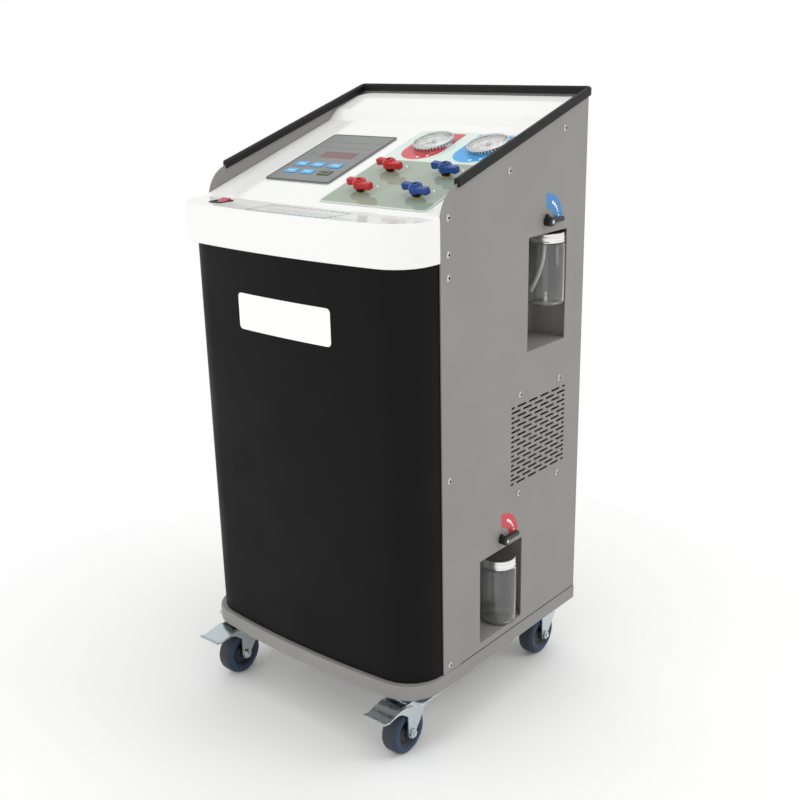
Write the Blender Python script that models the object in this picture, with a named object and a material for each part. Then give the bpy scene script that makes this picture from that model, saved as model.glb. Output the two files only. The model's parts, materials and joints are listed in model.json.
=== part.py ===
"""Refrigerant recovery machine: a wheeled cabinet with a sloping control top.

The cabinet stands on four casters, front towards -Y, +Z up, lengths in metres.
Machine coordinates have X across the cabinet, Y = 0 at the front edges of the
side panels and Z = 0 on the floor; the empty "machine" moves them so that the
origin lies under the middle of the whole outline.
"""
import math

import bmesh
import bpy

MM = 0.001
GAP = 0.3 * MM                     # air between pieces that touch

# Cabinet
WIDTH = 500 * MM                   # over the outer faces of the side panels
DEPTH = 404 * MM                   # side panels, front edge to rear face
PANEL_WALL = 2 * MM
REAR_RADIUS = 6 * MM               # plan radius of the rear corners
REAR_RETURN = 58 * MM              # how far each side panel runs across the back
LEDGE_HEIGHT = 880.5 * MM          # level strip in front of the controls
TOP_RISE = 33.1 * MM               # side panels' top line above the ledge, at their front edge
TOP_SLOPE = 0.3085                 # rise of that line per length of depth
TOP_CORNER = 55 * MM               # round at the front top corner of a side panel

# Base tray
CASTER_HEIGHT = 108 * MM
BASE_HEIGHT = 27 * MM
BASE_REACH = 1 * MM                # tray beyond the side panels
BASE_FRONT = 86 * MM               # bow front ahead of the side panels
BASE_FLOOR = 3 * MM
BASE_WALL = 2.5 * MM
BASE_RIM = 32 * MM                 # width of the in-turned rim
BASE_ROUND = 4 * MM
BOW_RADIUS = 1800 * MM
BASE_CORNER = 64 * MM

# Front panel
FRONT_REACH = 78 * MM
FRONT_CORNER = 70 * MM
FRONT_WALL = 2 * MM
FRONT_LAP = 30 * MM                # how far it runs back inside the side panels

# Hood
HOOD_FRONT = 92 * MM
HOOD_CORNER = 62 * MM
HOOD_WALL = 3.5 * MM
SKIRT_HEIGHT = 65 * MM             # front skirt below the ledge
SIDE_SKIRT = 18.5 * MM             # skirt inside the side panels, below the ledge
HOOD_LIP = 14 * MM                 # in-turned lip under the front skirt
HOOD_REAR_RADIUS = 30 * MM
HOOD_REAR_GAP = 10 * MM            # hood's shelf short of the rear face
LEDGE_BACK = -12 * MM              # where the ledge meets the control slope
CONTROL_SLOPE = 0.33
STEP_DEPTH = 19 * MM
SHELF_RUN = 72 * MM                # level length of the shelf behind the step
STEP_RISE = 18.5 * MM
SHELF_SLOPE = 0.36
LEDGE_FILLET = 30 * MM
STEP_FILLET = 8 * MM
HOOD_EDGE = 3 * MM

# Rubber edge trim
TRIM_WIDTH = 10 * MM
TRIM_LEG = 5 * MM
TRIM_HEAD = 8 * MM
TRIM_CHAMFER = 2.5 * MM
TRIM_START = 41 * MM

# Keypad and valve plate lie side by side, each margin a share of the width they leave
KEYPAD_SIZE = (147 * MM, 187 * MM)
PLATE_WIDTH = 216 * MM
LEFT_SHARE = 0.555
RIGHT_SHARE = 0.2335
KEYPAD_SHARE = 0.539               # of the slope's length that the keypad leaves, below it
PLATE_MARGINS = (19.5 * MM, 33.7 * MM)   # below and above the plate, along the slope

# Keypad, measured from its lower left corner
KEYPAD_PROUD = 2.5 * MM
KEYPAD_LIP = 6 * MM
KEYPAD_BODY = 22 * MM
KEYPAD_CORNER = 5 * MM
WINDOW_PLACE = (43 * MM, 91 * MM)
WINDOW_SIZE = (77 * MM, 24 * MM)
WINDOW_THICK = 1.5 * MM
KEY_SIZE = (27 * MM, 16 * MM)
KEY_COLUMNS = (33 * MM, 70 * MM, 110 * MM)
KEY_ROWS = (34.5 * MM, 62 * MM)
KEY_CORNER = 3 * MM
KEY_THICK = 2 * MM
KEY_PROUD = 1.2 * MM
KEY_TRAVEL = 0.8 * MM
KEY_CLEARANCE = 0.4 * MM

# Rocker switch on the ledge
ROCKER_INSET = (84 * MM, 33 * MM)  # from the left side, ahead of the slope
ROCKER_BEZEL = (27 * MM, 32 * MM)
ROCKER_SIZE = (20.4 * MM, 26.4 * MM)
ROCKER_TILT = 14                   # degrees either way
ROCKER_LIP = 2 * MM
ROCKER_FRAME = 2 * MM
ROCKER_WELL = 12 * MM
ROCKER_PIVOT = -2 * MM

# Valve plate, measured from its lower left corner, with four ball valves and two gauges
PLATE_THICK = 1.2 * MM
PLATE_CORNER = 9 * MM
VALVE_COLUMNS = (56 * MM, 168 * MM)
VALVE_SHARES = (0.1587, 0.4309)     # of the plate's length, up from its lower edge
BONNET_RADIUS = 6 * MM
BONNET_RISE = 7 * MM
STEM_RADIUS = 3 * MM
STEM_DEPTH = 6 * MM
MANIFOLD_EDGE = 20 * MM            # block beyond the valve centres
MANIFOLD_THICK = 30 * MM
HANDLE_HUB = 11 * MM
HANDLE_LENGTH = 57 * MM
HANDLE_THICK = 12 * MM
HANDLE_SOCKET = 3.5 * MM           # radius of the socket in the hub
GAUGE_COLUMNS = (64 * MM, 174 * MM)
GAUGE_DROP = 52 * MM               # centres below the plate's upper edge
GAUGE_RADIUS = 35 * MM
GAUGE_BARREL = 29 * MM
GAUGE_RIM = 10 * MM
GAUGE_LIP = 3 * MM
GAUGE_DIAL_DROP = 7 * MM
GAUGE_DEPTH = 30 * MM
NEEDLE_LENGTH = 22 * MM
NEEDLE_REST = 135                  # degrees from the top, lower left

# Jar windows in the right side, and the wider bays behind them
UPPER_WINDOW = (114 * MM, 189 * MM)
UPPER_WINDOW_REAR = 61 * MM        # rear edge ahead of the rear face
UPPER_WINDOW_DROP = 59.5 * MM      # top edge below the ledge
LOWER_WINDOW = (123 * MM, 153 * MM)
LOWER_WINDOW_FRONT = 99 * MM       # front edge behind the panel's front edge
LOWER_WINDOW_RISE = 13.7 * MM      # lower edge above the tray
WINDOW_ROUND = 3 * MM
BAY_SIDE = 15 * MM                 # bay beyond its window at each end
BAY_DEPTH = 75 * MM
BAY_WALL = 1.5 * MM
BAY_FLANGE = 5 * MM

# Oil jars
JAR_RADIUS = 31 * MM
JAR_HEIGHT = 106 * MM
JAR_WALL = 1.6 * MM
JAR_BASE = 2.2 * MM
LID_RADIUS = 29.5 * MM
LID_HEIGHT = 16 * MM
LID_WALL = 1.2 * MM
LID_BEAD = 0.8 * MM
JAR_INSET = 26 * MM                # jar centres inside the panel's face
UPPER_JAR_REAR = 21 * MM           # jar centres ahead of their window's rear edge
LOWER_JAR_REAR = 32.5 * MM
JAR_DROP = 5 * MM                  # upper lid below the bay's ceiling
SPIGOT_RADIUS = 6 * MM
TUBE_RADIUS = 3 * MM
TUBE_DROP = 92 * MM
TUBE_SWING = 22 * MM

# Oil valve knobs, each placed from its window: behind the front edge and above the top edge
KNOB_FROM_UPPER = (49 * MM, 20 * MM)
KNOB_FROM_LOWER = (60 * MM, 18.5 * MM)
KNOB_STEM = 4 * MM
KNOB_INSIDE = 10 * MM              # stem behind the panel's outer face
KNOB_RADIUS = 8 * MM
KNOB_LENGTH = 14 * MM
LEVER_LENGTH = 42 * MM
LEVER_HALF = 4 * MM
LEVER_RISE = (3 * MM, 9 * MM)

# Vent in the right side
VENT_SIZE = (172 * MM, 144 * MM)
VENT_REAR = 50 * MM                # rear edge ahead of the rear face
VENT_SHARE = 0.53                  # its middle between the two windows
VENT_ROWS = 17
VENT_PITCHES = 5
SLOT_HEIGHT = 4 * MM
SLOT_BRIDGE = 7 * MM

# Casters
WHEEL_RADIUS = 40 * MM
WHEEL_WIDTH = 32 * MM
HUB_RADIUS = 25 * MM
HUB_BOSS = 10 * MM
HUB_RECESS = 5 * MM
TYRE_CROWN = 8 * MM
TYRE_SHOULDER = 6 * MM
CASTER_INSET = 50 * MM             # wheel inside the side panel's face
FRONT_WHEEL_SET = 37 * MM          # wheel centre behind the bow front
REAR_WHEEL_SET = 54 * MM           # wheel centre ahead of the rear face
CASTER_TRAIL = 28 * MM             # kingpin behind the axle
CASTER_PLATE = (94 * MM, 66 * MM)
CASTER_PLATE_THICK = 3 * MM
CASTER_PLATE_CORNER = 6 * MM
FORK_INNER = 18 * MM
FORK_STEEL = 2.5 * MM
FORK_RACE = 6 * MM
FORK_HEAD = 26 * MM                # radius of the swivel head
FORK_BOSS = 9 * MM
AXLE_RADIUS = 4 * MM
AXLE_HEAD = (6.5 * MM, 4 * MM)
PEDAL_REACH = 71 * MM              # pedal tip ahead of the axle
PEDAL_PIVOT = (-14 * MM, 88 * MM)  # ahead of the axle, above the floor
PEDAL_HALF = 23 * MM
PEDAL_PIN = 3 * MM
PEDAL_TEETH = 9

# Rear cover
REAR_VENT_Z = 420 * MM
REAR_ROWS = 8
REAR_ROW_PITCH = 14 * MM
REAR_COLUMNS = 5
REAR_SLOT_PITCH = 46 * MM
REAR_SLOT = 36 * MM
INLET_INSET = 130 * MM             # inlet from the left side
INLET_Z = 230 * MM
INLET_SIZE = (28 * MM, 24 * MM)
INLET_FLANGE = 5 * MM
INLET_WALL = 4 * MM
INLET_DEPTH = 19 * MM
FITTING_INSETS = (190 * MM, 130 * MM)   # unions from the right side
FITTING_DROP = 120 * MM            # below the ledge
FITTING_RADIUS = 9 * MM
FITTING_REACH = 15 * MM
FITTING_BODY = 25 * MM

# Inside
TANK_RADIUS = 104 * MM
TANK_HEIGHT = 430 * MM
TANK_SHOULDER = 70 * MM
TANK_FOOT = 55 * MM
TANK_NECK = 18 * MM
TANK_SIDE = 9 * MM                 # clear of the left panel
TANK_REAR = 194 * MM               # centre ahead of the rear face
COMPRESSOR_RADIUS = 70 * MM
COMPRESSOR_HEIGHT = 190 * MM
COMPRESSOR_DOME = 35 * MM
COMPRESSOR_SEAM = 1.04             # welded seam wider than the pot
COMPRESSOR_FRONT = 50 * MM
PUMP_RADIUS = 48 * MM
PUMP_LENGTH = 170 * MM
PUMP_FOOT = 12 * MM
PUMP_REAR = 125 * MM
PLANT_CLEARANCE = 6 * MM           # compressor and pump clear of the lower bay
COIL_THICK = 32 * MM
DUCT_MARGIN = 4 * MM
DUCT_ROUND = 4 * MM
FAN_ROOM = 48 * MM
FAN_RADIUS = 68 * MM
FAN_BLADES = 5
FAN_HUB = (22 * MM, 18 * MM)
FAN_MOTOR = (20 * MM, 18 * MM)
FAN_SHAFT = 3 * MM
FAN_BLADE = 0.8 * MM

# What follows from the values above
SIDE = WIDTH / 2
INNER = SIDE - PANEL_WALL
BASE_BOTTOM = CASTER_HEIGHT + GAP
BASE_TOP = BASE_BOTTOM + BASE_HEIGHT
PLANT_FLOOR = BASE_BOTTOM + BASE_FLOOR + GAP
TOP_START = LEDGE_HEIGHT + TOP_RISE
HOOD_BOTTOM = LEDGE_HEIGHT - SKIRT_HEIGHT
HOOD_SIDES = LEDGE_HEIGHT - SIDE_SKIRT
HOOD_BACK = DEPTH - HOOD_REAR_GAP
STEP_BACK = HOOD_BACK - SHELF_RUN - STEP_DEPTH
SLOPE_LENGTH = (STEP_BACK - LEDGE_BACK) * math.sqrt(1 + CONTROL_SLOPE ** 2)
SLOPE_ANGLE = math.atan(CONTROL_SLOPE)
FREE_WIDTH = WIDTH - KEYPAD_SIZE[0] - PLATE_WIDTH
KEYPAD_LEFT = -SIDE + LEFT_SHARE * FREE_WIDTH
KEYPAD_X = (KEYPAD_LEFT, KEYPAD_LEFT + KEYPAD_SIZE[0])
KEYPAD_START = KEYPAD_SHARE * (SLOPE_LENGTH - KEYPAD_SIZE[1])
KEYPAD_S = (KEYPAD_START, KEYPAD_START + KEYPAD_SIZE[1])
PLATE_RIGHT = SIDE - RIGHT_SHARE * FREE_WIDTH
PLATE_X = (PLATE_RIGHT - PLATE_WIDTH, PLATE_RIGHT)
PLATE_S = (PLATE_MARGINS[0], SLOPE_LENGTH - PLATE_MARGINS[1])
PLATE_LENGTH = PLATE_S[1] - PLATE_S[0]
VALVE_X = [PLATE_X[0] + across for across in VALVE_COLUMNS]
VALVE_S = [PLATE_S[0] + share * PLATE_LENGTH for share in VALVE_SHARES]
GAUGE_X = [PLATE_X[0] + across for across in GAUGE_COLUMNS]
GAUGE_S = PLATE_S[1] - GAUGE_DROP
BONNET_TOP = GAP + PLATE_THICK + BONNET_RISE
ROCKER_X = -SIDE + ROCKER_INSET[0]
ROCKER_Y = LEDGE_BACK - ROCKER_INSET[1]
UPPER_WINDOW_Y = (DEPTH - UPPER_WINDOW_REAR - UPPER_WINDOW[0], DEPTH - UPPER_WINDOW_REAR)
UPPER_WINDOW_TOP = LEDGE_HEIGHT - UPPER_WINDOW_DROP
UPPER_WINDOW_Z = (UPPER_WINDOW_TOP - UPPER_WINDOW[1], UPPER_WINDOW_TOP)
LOWER_WINDOW_Y = (LOWER_WINDOW_FRONT, LOWER_WINDOW_FRONT + LOWER_WINDOW[0])
LOWER_WINDOW_Z = (BASE_TOP + LOWER_WINDOW_RISE, BASE_TOP + LOWER_WINDOW_RISE + LOWER_WINDOW[1])
JAR_X = SIDE - JAR_INSET
UPPER_JAR_Y = UPPER_WINDOW_Y[1] - UPPER_JAR_REAR
LOWER_JAR_Y = LOWER_WINDOW_Y[1] - LOWER_JAR_REAR
UPPER_JAR_BASE = UPPER_WINDOW_Z[1] - JAR_DROP - LID_HEIGHT - JAR_HEIGHT
LOWER_JAR_BASE = LOWER_WINDOW_Z[0] + GAP
KNOB_UPPER = (UPPER_WINDOW_Y[0] + KNOB_FROM_UPPER[0], UPPER_WINDOW_Z[1] + KNOB_FROM_UPPER[1])
KNOB_LOWER = (LOWER_WINDOW_Y[0] + KNOB_FROM_LOWER[0], LOWER_WINDOW_Z[1] + KNOB_FROM_LOWER[1])
VENT_Y = (DEPTH - VENT_REAR - VENT_SIZE[0], DEPTH - VENT_REAR)
VENT_MIDDLE = LOWER_WINDOW_Z[1] + VENT_SHARE * (UPPER_WINDOW_Z[0] - LOWER_WINDOW_Z[1])
VENT_Z = (VENT_MIDDLE - VENT_SIZE[1] / 2, VENT_MIDDLE + VENT_SIZE[1] / 2)
CASTER_X = SIDE - CASTER_INSET
FRONT_WHEEL_Y = FRONT_WHEEL_SET - BASE_FRONT
REAR_WHEEL_Y = DEPTH - REAR_WHEEL_SET
FITTING_Z = LEDGE_HEIGHT - FITTING_DROP
FITTING_X = [SIDE - inset for inset in FITTING_INSETS]
INLET_X = -SIDE + INLET_INSET
BAY_BACK = SIDE - BAY_DEPTH - BAY_WALL
TANK_PLACE = (-INNER + TANK_SIDE + TANK_RADIUS, DEPTH - TANK_REAR)
COMPRESSOR_PLACE = (BAY_BACK - PLANT_CLEARANCE - COMPRESSOR_RADIUS * COMPRESSOR_SEAM, COMPRESSOR_FRONT)
PUMP_PLACE = (BAY_BACK - PLANT_CLEARANCE - PUMP_RADIUS, DEPTH - PUMP_REAR)

# Middle of the whole outline: pedal tips to hose unions, tray edge to oil knobs
FRONT_MOST = min(FRONT_WHEEL_Y - PEDAL_REACH, -BASE_FRONT, -HOOD_FRONT)
REAR_MOST = DEPTH + max(FITTING_REACH, BASE_REACH)
TRIM_REACH = (TRIM_WIDTH - PANEL_WALL) / 2
LEFT_MOST = -SIDE - max(BASE_REACH, TRIM_REACH)
RIGHT_MOST = SIDE + max(GAP + KNOB_LENGTH, BASE_REACH, TRIM_REACH)
MIDDLE = ((LEFT_MOST + RIGHT_MOST) / 2, (FRONT_MOST + REAR_MOST) / 2)


def clear_scene():
    # An empty scene, keeping the file open
    for item in list(bpy.data.objects):
        bpy.data.objects.remove(item, do_unlink=True)


def material(name, colour, roughness, metallic=0.0, alpha=1.0):
    # One plain surface per finish
    made = bpy.data.materials.get(name) or bpy.data.materials.new(name)
    made.use_nodes = True
    shader = made.node_tree.nodes["Principled BSDF"]
    shader.inputs["Base Color"].default_value = (*colour, 1.0)
    shader.inputs["Roughness"].default_value = roughness
    shader.inputs["Metallic"].default_value = metallic
    shader.inputs["Alpha"].default_value = alpha
    return made


def empty(name, parent=None, location=(0, 0, 0), rotation=(0, 0, 0)):
    # A plain axis that others hang from
    made = bpy.data.objects.new(name, None)
    bpy.context.scene.collection.objects.link(made)
    made.parent = parent
    made.location = location
    made.rotation_euler = rotation
    return made


def solid(name, verts, faces, surface, parent, location=(0, 0, 0), rotation=(0, 0, 0)):
    # A closed mesh with its faces turned outwards
    mesh = bpy.data.meshes.new(name)
    mesh.from_pydata([tuple(v) for v in verts], [], faces)
    work = bmesh.new()
    work.from_mesh(mesh)
    bmesh.ops.recalc_face_normals(work, faces=work.faces)
    work.to_mesh(mesh)
    work.free()
    made = bpy.data.objects.new(name, mesh)
    bpy.context.scene.collection.objects.link(made)
    if surface:
        mesh.materials.append(surface)
    mesh.shade_smooth()
    mesh.set_sharp_from_angle(angle=math.radians(35))
    made.parent = parent
    made.location = location
    made.rotation_euler = rotation
    return made


def loft(name, loops, surface, parent, location=(0, 0, 0), rotation=(0, 0, 0), closed=False):
    # Equal loops bridged one to the next, capped at both ends unless closed
    count = len(loops[0])
    verts = [point for loop in loops for point in loop]
    faces = []
    spans = len(loops) if closed else len(loops) - 1
    for i in range(spans):
        a = i * count
        b = (i + 1) % len(loops) * count
        for k in range(count):
            n = (k + 1) % count
            faces.append((a + k, a + n, b + n, b + k))
    if not closed:
        faces.append(tuple(reversed(range(count))))
        faces.append(tuple(range(len(verts) - count, len(verts))))
    return solid(name, verts, faces, surface, parent, location, rotation)


def prism(name, outline, low, high, surface, parent, axis="z", location=(0, 0, 0), rotation=(0, 0, 0)):
    # A flat outline carried along one axis
    def place(a, b, c):
        return {"z": (a, b, c), "x": (c, a, b), "y": (a, c, b)}[axis]
    loops = [[place(a, b, level) for a, b in outline] for level in (low, high)]
    return loft(name, loops, surface, parent, location, rotation)


def turned(name, profile, surface, parent, sides=24, location=(0, 0, 0), rotation=(0, 0, 0)):
    # A closed (radius, height) profile turned about Z; points at radius 0 are poles
    hollow = all(r > 0 for r, z in profile)
    ring = [(math.cos(2 * math.pi * k / sides), math.sin(2 * math.pi * k / sides)) for k in range(sides)]
    if hollow:
        loops = [[(r * c, r * s, z) for c, s in ring] for r, z in profile]
        return loft(name, loops, surface, parent, location, rotation, closed=True)
    middle = [p for p in profile if p[0] > 0]
    loops = [[(r * c, r * s, z) for c, s in ring] for r, z in middle]
    return loft(name, loops, surface, parent, location, rotation)


def rounded(points, radius, steps=3):
    # A closed outline with each corner turned into an arc
    result = []
    count = len(points)
    for i, here in enumerate(points):
        before = points[i - 1]
        after = points[(i + 1) % count]
        size = radius[i] if isinstance(radius, (list, tuple)) else radius
        a = (before[0] - here[0], before[1] - here[1])
        b = (after[0] - here[0], after[1] - here[1])
        la = math.hypot(*a)
        lb = math.hypot(*b)
        a = (a[0] / la, a[1] / la)
        b = (b[0] / lb, b[1] / lb)
        if size <= 0:
            result.append(here)
            continue
        half = math.acos(max(-1, min(1, a[0] * b[0] + a[1] * b[1]))) / 2
        reach = size / math.tan(half)
        middle = (a[0] + b[0], a[1] + b[1])
        scale = size / math.sin(half) / math.hypot(*middle)
        centre = (here[0] + middle[0] * scale, here[1] + middle[1] * scale)
        start = (here[0] + a[0] * reach, here[1] + a[1] * reach)
        end = (here[0] + b[0] * reach, here[1] + b[1] * reach)
        t0 = math.atan2(start[1] - centre[1], start[0] - centre[0])
        t1 = math.atan2(end[1] - centre[1], end[0] - centre[0])
        turn = (t1 - t0 + math.pi) % (2 * math.pi) - math.pi
        for k in range(steps + 1):
            t = t0 + turn * k / steps
            result.append((centre[0] + size * math.cos(t), centre[1] + size * math.sin(t)))
    return result


def rectangle(x0, x1, y0, y1):
    # Four corners, anticlockwise
    return [(x0, y0), (x1, y0), (x1, y1), (x0, y1)]


def box(name, x, y, z, surface, parent, location=(0, 0, 0), rotation=(0, 0, 0)):
    # A plain block between three pairs of limits
    return prism(name, rectangle(x[0], x[1], y[0], y[1]), z[0], z[1], surface, parent, "z", location, rotation)


def as_tool(item):
    # A shape that only cuts or joins
    item.hide_render = True
    item.display_type = "WIRE"
    return item


def combine(target, tool, operation):
    # One Boolean step kept on the object
    step = target.modifiers.new(operation.title(), "BOOLEAN")
    step.operation = operation
    step.object = as_tool(tool)
    step.solver = "EXACT"
    return target


def cut(target, tool):
    return combine(target, tool, "DIFFERENCE")


def join(target, tool):
    return combine(target, tool, "UNION")


def arc(centre, radius, start, end, steps):
    # Points on an arc, angles in radians
    return [(centre[0] + radius * math.cos(start + (end - start) * k / steps),
             centre[1] + radius * math.sin(start + (end - start) * k / steps)) for k in range(steps + 1)]


def bow_line(half, front, corner, back, inset=0.0, bow_steps=10, corner_steps=6):
    # From the left rear, round the bow front, to the right rear
    half = half - inset
    front = -front + inset
    bow = BOW_RADIUS - inset
    corner = corner - inset
    bow_y = front + bow
    corner_x = half - corner
    corner_y = bow_y - math.sqrt((bow - corner) ** 2 - corner_x ** 2)
    lean = math.atan2(corner_x, bow_y - corner_y)
    right = arc((corner_x, corner_y), corner, lean - math.pi / 2, 0, corner_steps)
    left = [(-x, y) for x, y in reversed(right)]
    bow_points = arc((0, bow_y), bow, -math.pi / 2 - lean, -math.pi / 2 + lean, bow_steps)
    return [(-half, back)] + left + bow_points[1:-1] + right + [(half, back)]


def with_round_rear(line, half, back, radius):
    # A bow line closed by two round rear corners
    right = arc((half - radius, back - radius), radius, 0, math.pi / 2, 4)
    return line[1:-1] + right + [(-x, y) for x, y in reversed(right)]


def base_line(inset):
    # The tray seen from above, bow front and round rear corners
    half = SIDE + BASE_REACH - inset
    line = bow_line(SIDE + BASE_REACH, BASE_FRONT, BASE_CORNER, 0, inset)
    radius = max(REAR_RADIUS + BASE_REACH - inset, GAP)
    return with_round_rear(line, half, DEPTH + BASE_REACH - inset, radius)


def top_line(y):
    # Height of the side panels' top edge
    tangent = TOP_CORNER * (1 - math.sin(math.atan(TOP_SLOPE)))
    if y >= tangent:
        return TOP_START + TOP_SLOPE * y
    centre = TOP_START + TOP_SLOPE * TOP_CORNER - TOP_CORNER * math.sqrt(1 + TOP_SLOPE ** 2)
    return centre + math.sqrt(max(TOP_CORNER ** 2 - (TOP_CORNER - y) ** 2, 0))


def panel_stations(offset, start=None):
    # Plan points of a side panel from its front edge round to its rear return
    if start is None:
        lean = math.pi / 2 - math.atan(TOP_SLOPE)
        steps = [TOP_CORNER * (1 - math.cos(lean * k / 6)) for k in range(7)]
    else:
        steps = [start]
    points = [(SIDE - offset, y) for y in steps]
    centre = (SIDE - REAR_RADIUS, DEPTH - REAR_RADIUS)
    points += arc(centre, REAR_RADIUS - offset, 0, math.pi / 2, 6)
    return points


def casing_materials():
    # Finishes read from the photograph
    return {
        "grey": material("grey_powder_coat", (0.31, 0.29, 0.27), 0.5),
        "black": material("black_satin_paint", (0.018, 0.018, 0.018), 0.42),
        "white": material("white_gloss_abs", (0.85, 0.87, 0.86), 0.15),
        "rubber": material("black_edge_rubber", (0.022, 0.022, 0.022), 0.7),
        "dark": material("dark_grey_paint", (0.09, 0.09, 0.085), 0.5),
        "keypad": material("keypad_grey_film", (0.27, 0.28, 0.28), 0.4),
        "window": material("smoked_red_window", (0.16, 0.06, 0.055), 0.15),
        "blue_key": material("blue_key", (0.07, 0.38, 0.72), 0.4),
        "green_key": material("green_key", (0.045, 0.10, 0.03), 0.4),
        "black_plastic": material("black_plastic", (0.02, 0.02, 0.02), 0.35),
        "red_plastic": material("red_plastic", (0.5, 0.02, 0.025), 0.3),
        "film": material("sage_plate_film", (0.38, 0.44, 0.36), 0.2),
        "brass": material("brass", (0.72, 0.5, 0.2), 0.25, 1.0),
        "red_handle": material("red_handle_enamel", (0.56, 0.012, 0.02), 0.3),
        "blue_handle": material("blue_handle_enamel", (0.012, 0.05, 0.3), 0.3),
        "chrome": material("chrome", (0.75, 0.75, 0.75), 0.08, 1.0),
        "needle": material("needle_black", (0.02, 0.02, 0.02), 0.4),
        "glass": material("gauge_glass", (0.9, 0.93, 0.93), 0.05, 0.0, 0.3),
        "jar": material("clear_jar", (0.85, 0.88, 0.88), 0.08, 0.0, 0.35),
        "aluminium": material("aluminium_lid", (0.8, 0.8, 0.8), 0.25, 1.0),
        "tube": material("clear_hose", (0.8, 0.82, 0.82), 0.3, 0.0, 0.6),
        "zinc": material("zinc_plated_steel", (0.6, 0.65, 0.68), 0.28, 1.0),
        "tyre": material("blue_elastic_tyre", (0.02, 0.05, 0.14), 0.55),
        "tank": material("grey_tank_paint", (0.35, 0.36, 0.37), 0.4),
        "motor": material("black_motor_paint", (0.03, 0.03, 0.03), 0.45),
        "fins": material("aluminium_fins", (0.6, 0.6, 0.6), 0.4, 1.0),
    }


def base_tray(surface, machine):
    # A shallow pan whose rim turns in to carry the panels
    levels = [
        (BASE_WALL, BASE_BOTTOM + BASE_FLOOR),
        (BASE_WALL, BASE_TOP - BASE_WALL),
        (BASE_RIM, BASE_TOP - BASE_WALL),
        (BASE_RIM, BASE_TOP),
        (BASE_ROUND, BASE_TOP),
        (BASE_ROUND * 0.3, BASE_TOP - BASE_ROUND * 0.3),
        (0.0, BASE_TOP - BASE_ROUND),
        (0.0, BASE_BOTTOM + BASE_ROUND / 2),
        (BASE_ROUND / 2, BASE_BOTTOM),
    ]
    loops = [[(x, y, z) for x, y in base_line(inset)] for inset, z in levels]
    return loft("base_tray", loops, surface, machine)


def wall_strip(name, outer, inner, low, tops, surface, machine):
    # A standing sheet between two plan lines, each station with its own top
    loops = []
    for (ox, oy), (ix, iy), top in zip(outer, inner, tops):
        loops.append([(ox, oy, low), (ix, iy, low), (ix, iy, top), (ox, oy, top)])
    return loft(name, loops, surface, machine)


def side_panel(name, hand, surface, machine):
    # Folded sheet: flat side, round rear corner and a return across the back
    outer = panel_stations(0) + [(SIDE - REAR_RETURN, DEPTH)]
    inner = panel_stations(PANEL_WALL) + [(SIDE - REAR_RETURN, DEPTH - PANEL_WALL)]
    tops = [top_line(y) for x, y in outer]
    outer = [(hand * x, y) for x, y in outer]
    inner = [(hand * x, y) for x, y in inner]
    return wall_strip(name, outer, inner, BASE_TOP + GAP, tops, surface, machine)


def slot_outline(y0, y1, z0, z1):
    # A slot with round ends
    return rounded(rectangle(y0, y1, z0, z1), (z1 - z0) * 0.42, 1)


def vent_slots():
    # Brick pattern: even rows hold whole slots, odd rows start and end with half ones
    pitch = (VENT_Y[1] - VENT_Y[0]) / VENT_PITCHES
    row_pitch = (VENT_Z[1] - VENT_Z[0]) / VENT_ROWS
    half_bridge = SLOT_BRIDGE / 2
    slots = []
    for row in range(VENT_ROWS):
        z = VENT_Z[0] + row_pitch * (row + 0.5)
        marks = [VENT_Y[0] + pitch * k for k in range(VENT_PITCHES + 1)]
        if row % 2 == 0:
            middle = [VENT_Y[0] + pitch * (k + 0.5) for k in range(VENT_PITCHES)]
            marks = [VENT_Y[0]] + middle + [VENT_Y[1]]
        for a, b in zip(marks, marks[1:]):
            slots.append(slot_outline(a + half_bridge, b - half_bridge, z - SLOT_HEIGHT / 2, z + SLOT_HEIGHT / 2))
    return slots


def many_prisms(name, outlines, low, high, machine, axis):
    # Several outlines carried through a wall as one tool
    verts = []
    faces = []
    for outline in outlines:
        start = len(verts)
        count = len(outline)
        for level in (low, high):
            for a, b in outline:
                verts.append({"x": (level, a, b), "y": (a, level, b), "z": (a, b, level)}[axis])
        faces.append(tuple(range(start, start + count)))
        faces.append(tuple(reversed(range(start + count, start + 2 * count))))
        for k in range(count):
            n = (k + 1) % count
            faces.append((start + k, start + n, start + count + n, start + count + k))
    return solid(name, verts, faces, None, machine)


def bay_outline(across, upright, wider=0.0, grow=0.0):
    # The opening of a jar window or bay in the (Y, Z) plane
    side = wider + grow
    corners = rectangle(across[0] - side, across[1] + side, upright[0] - grow, upright[1] + grow)
    return rounded(corners, WINDOW_ROUND + grow, 2)


def right_side(surface, machine):
    # The right panel with its two jar openings, two knob holes and the vent
    panel = side_panel("side_panel_right", 1, surface, machine)
    openings = [bay_outline(UPPER_WINDOW_Y, UPPER_WINDOW_Z), bay_outline(LOWER_WINDOW_Y, LOWER_WINDOW_Z)]
    for y, z in (KNOB_UPPER, KNOB_LOWER):
        openings.append(arc((y, z), KNOB_STEM + GAP, 0, 2 * math.pi * 11 / 12, 11))
    tool = many_prisms("right_side_cuts", openings + vent_slots(), INNER - 3 * MM, SIDE + 3 * MM, machine, "x")
    return cut(panel, tool)


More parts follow.
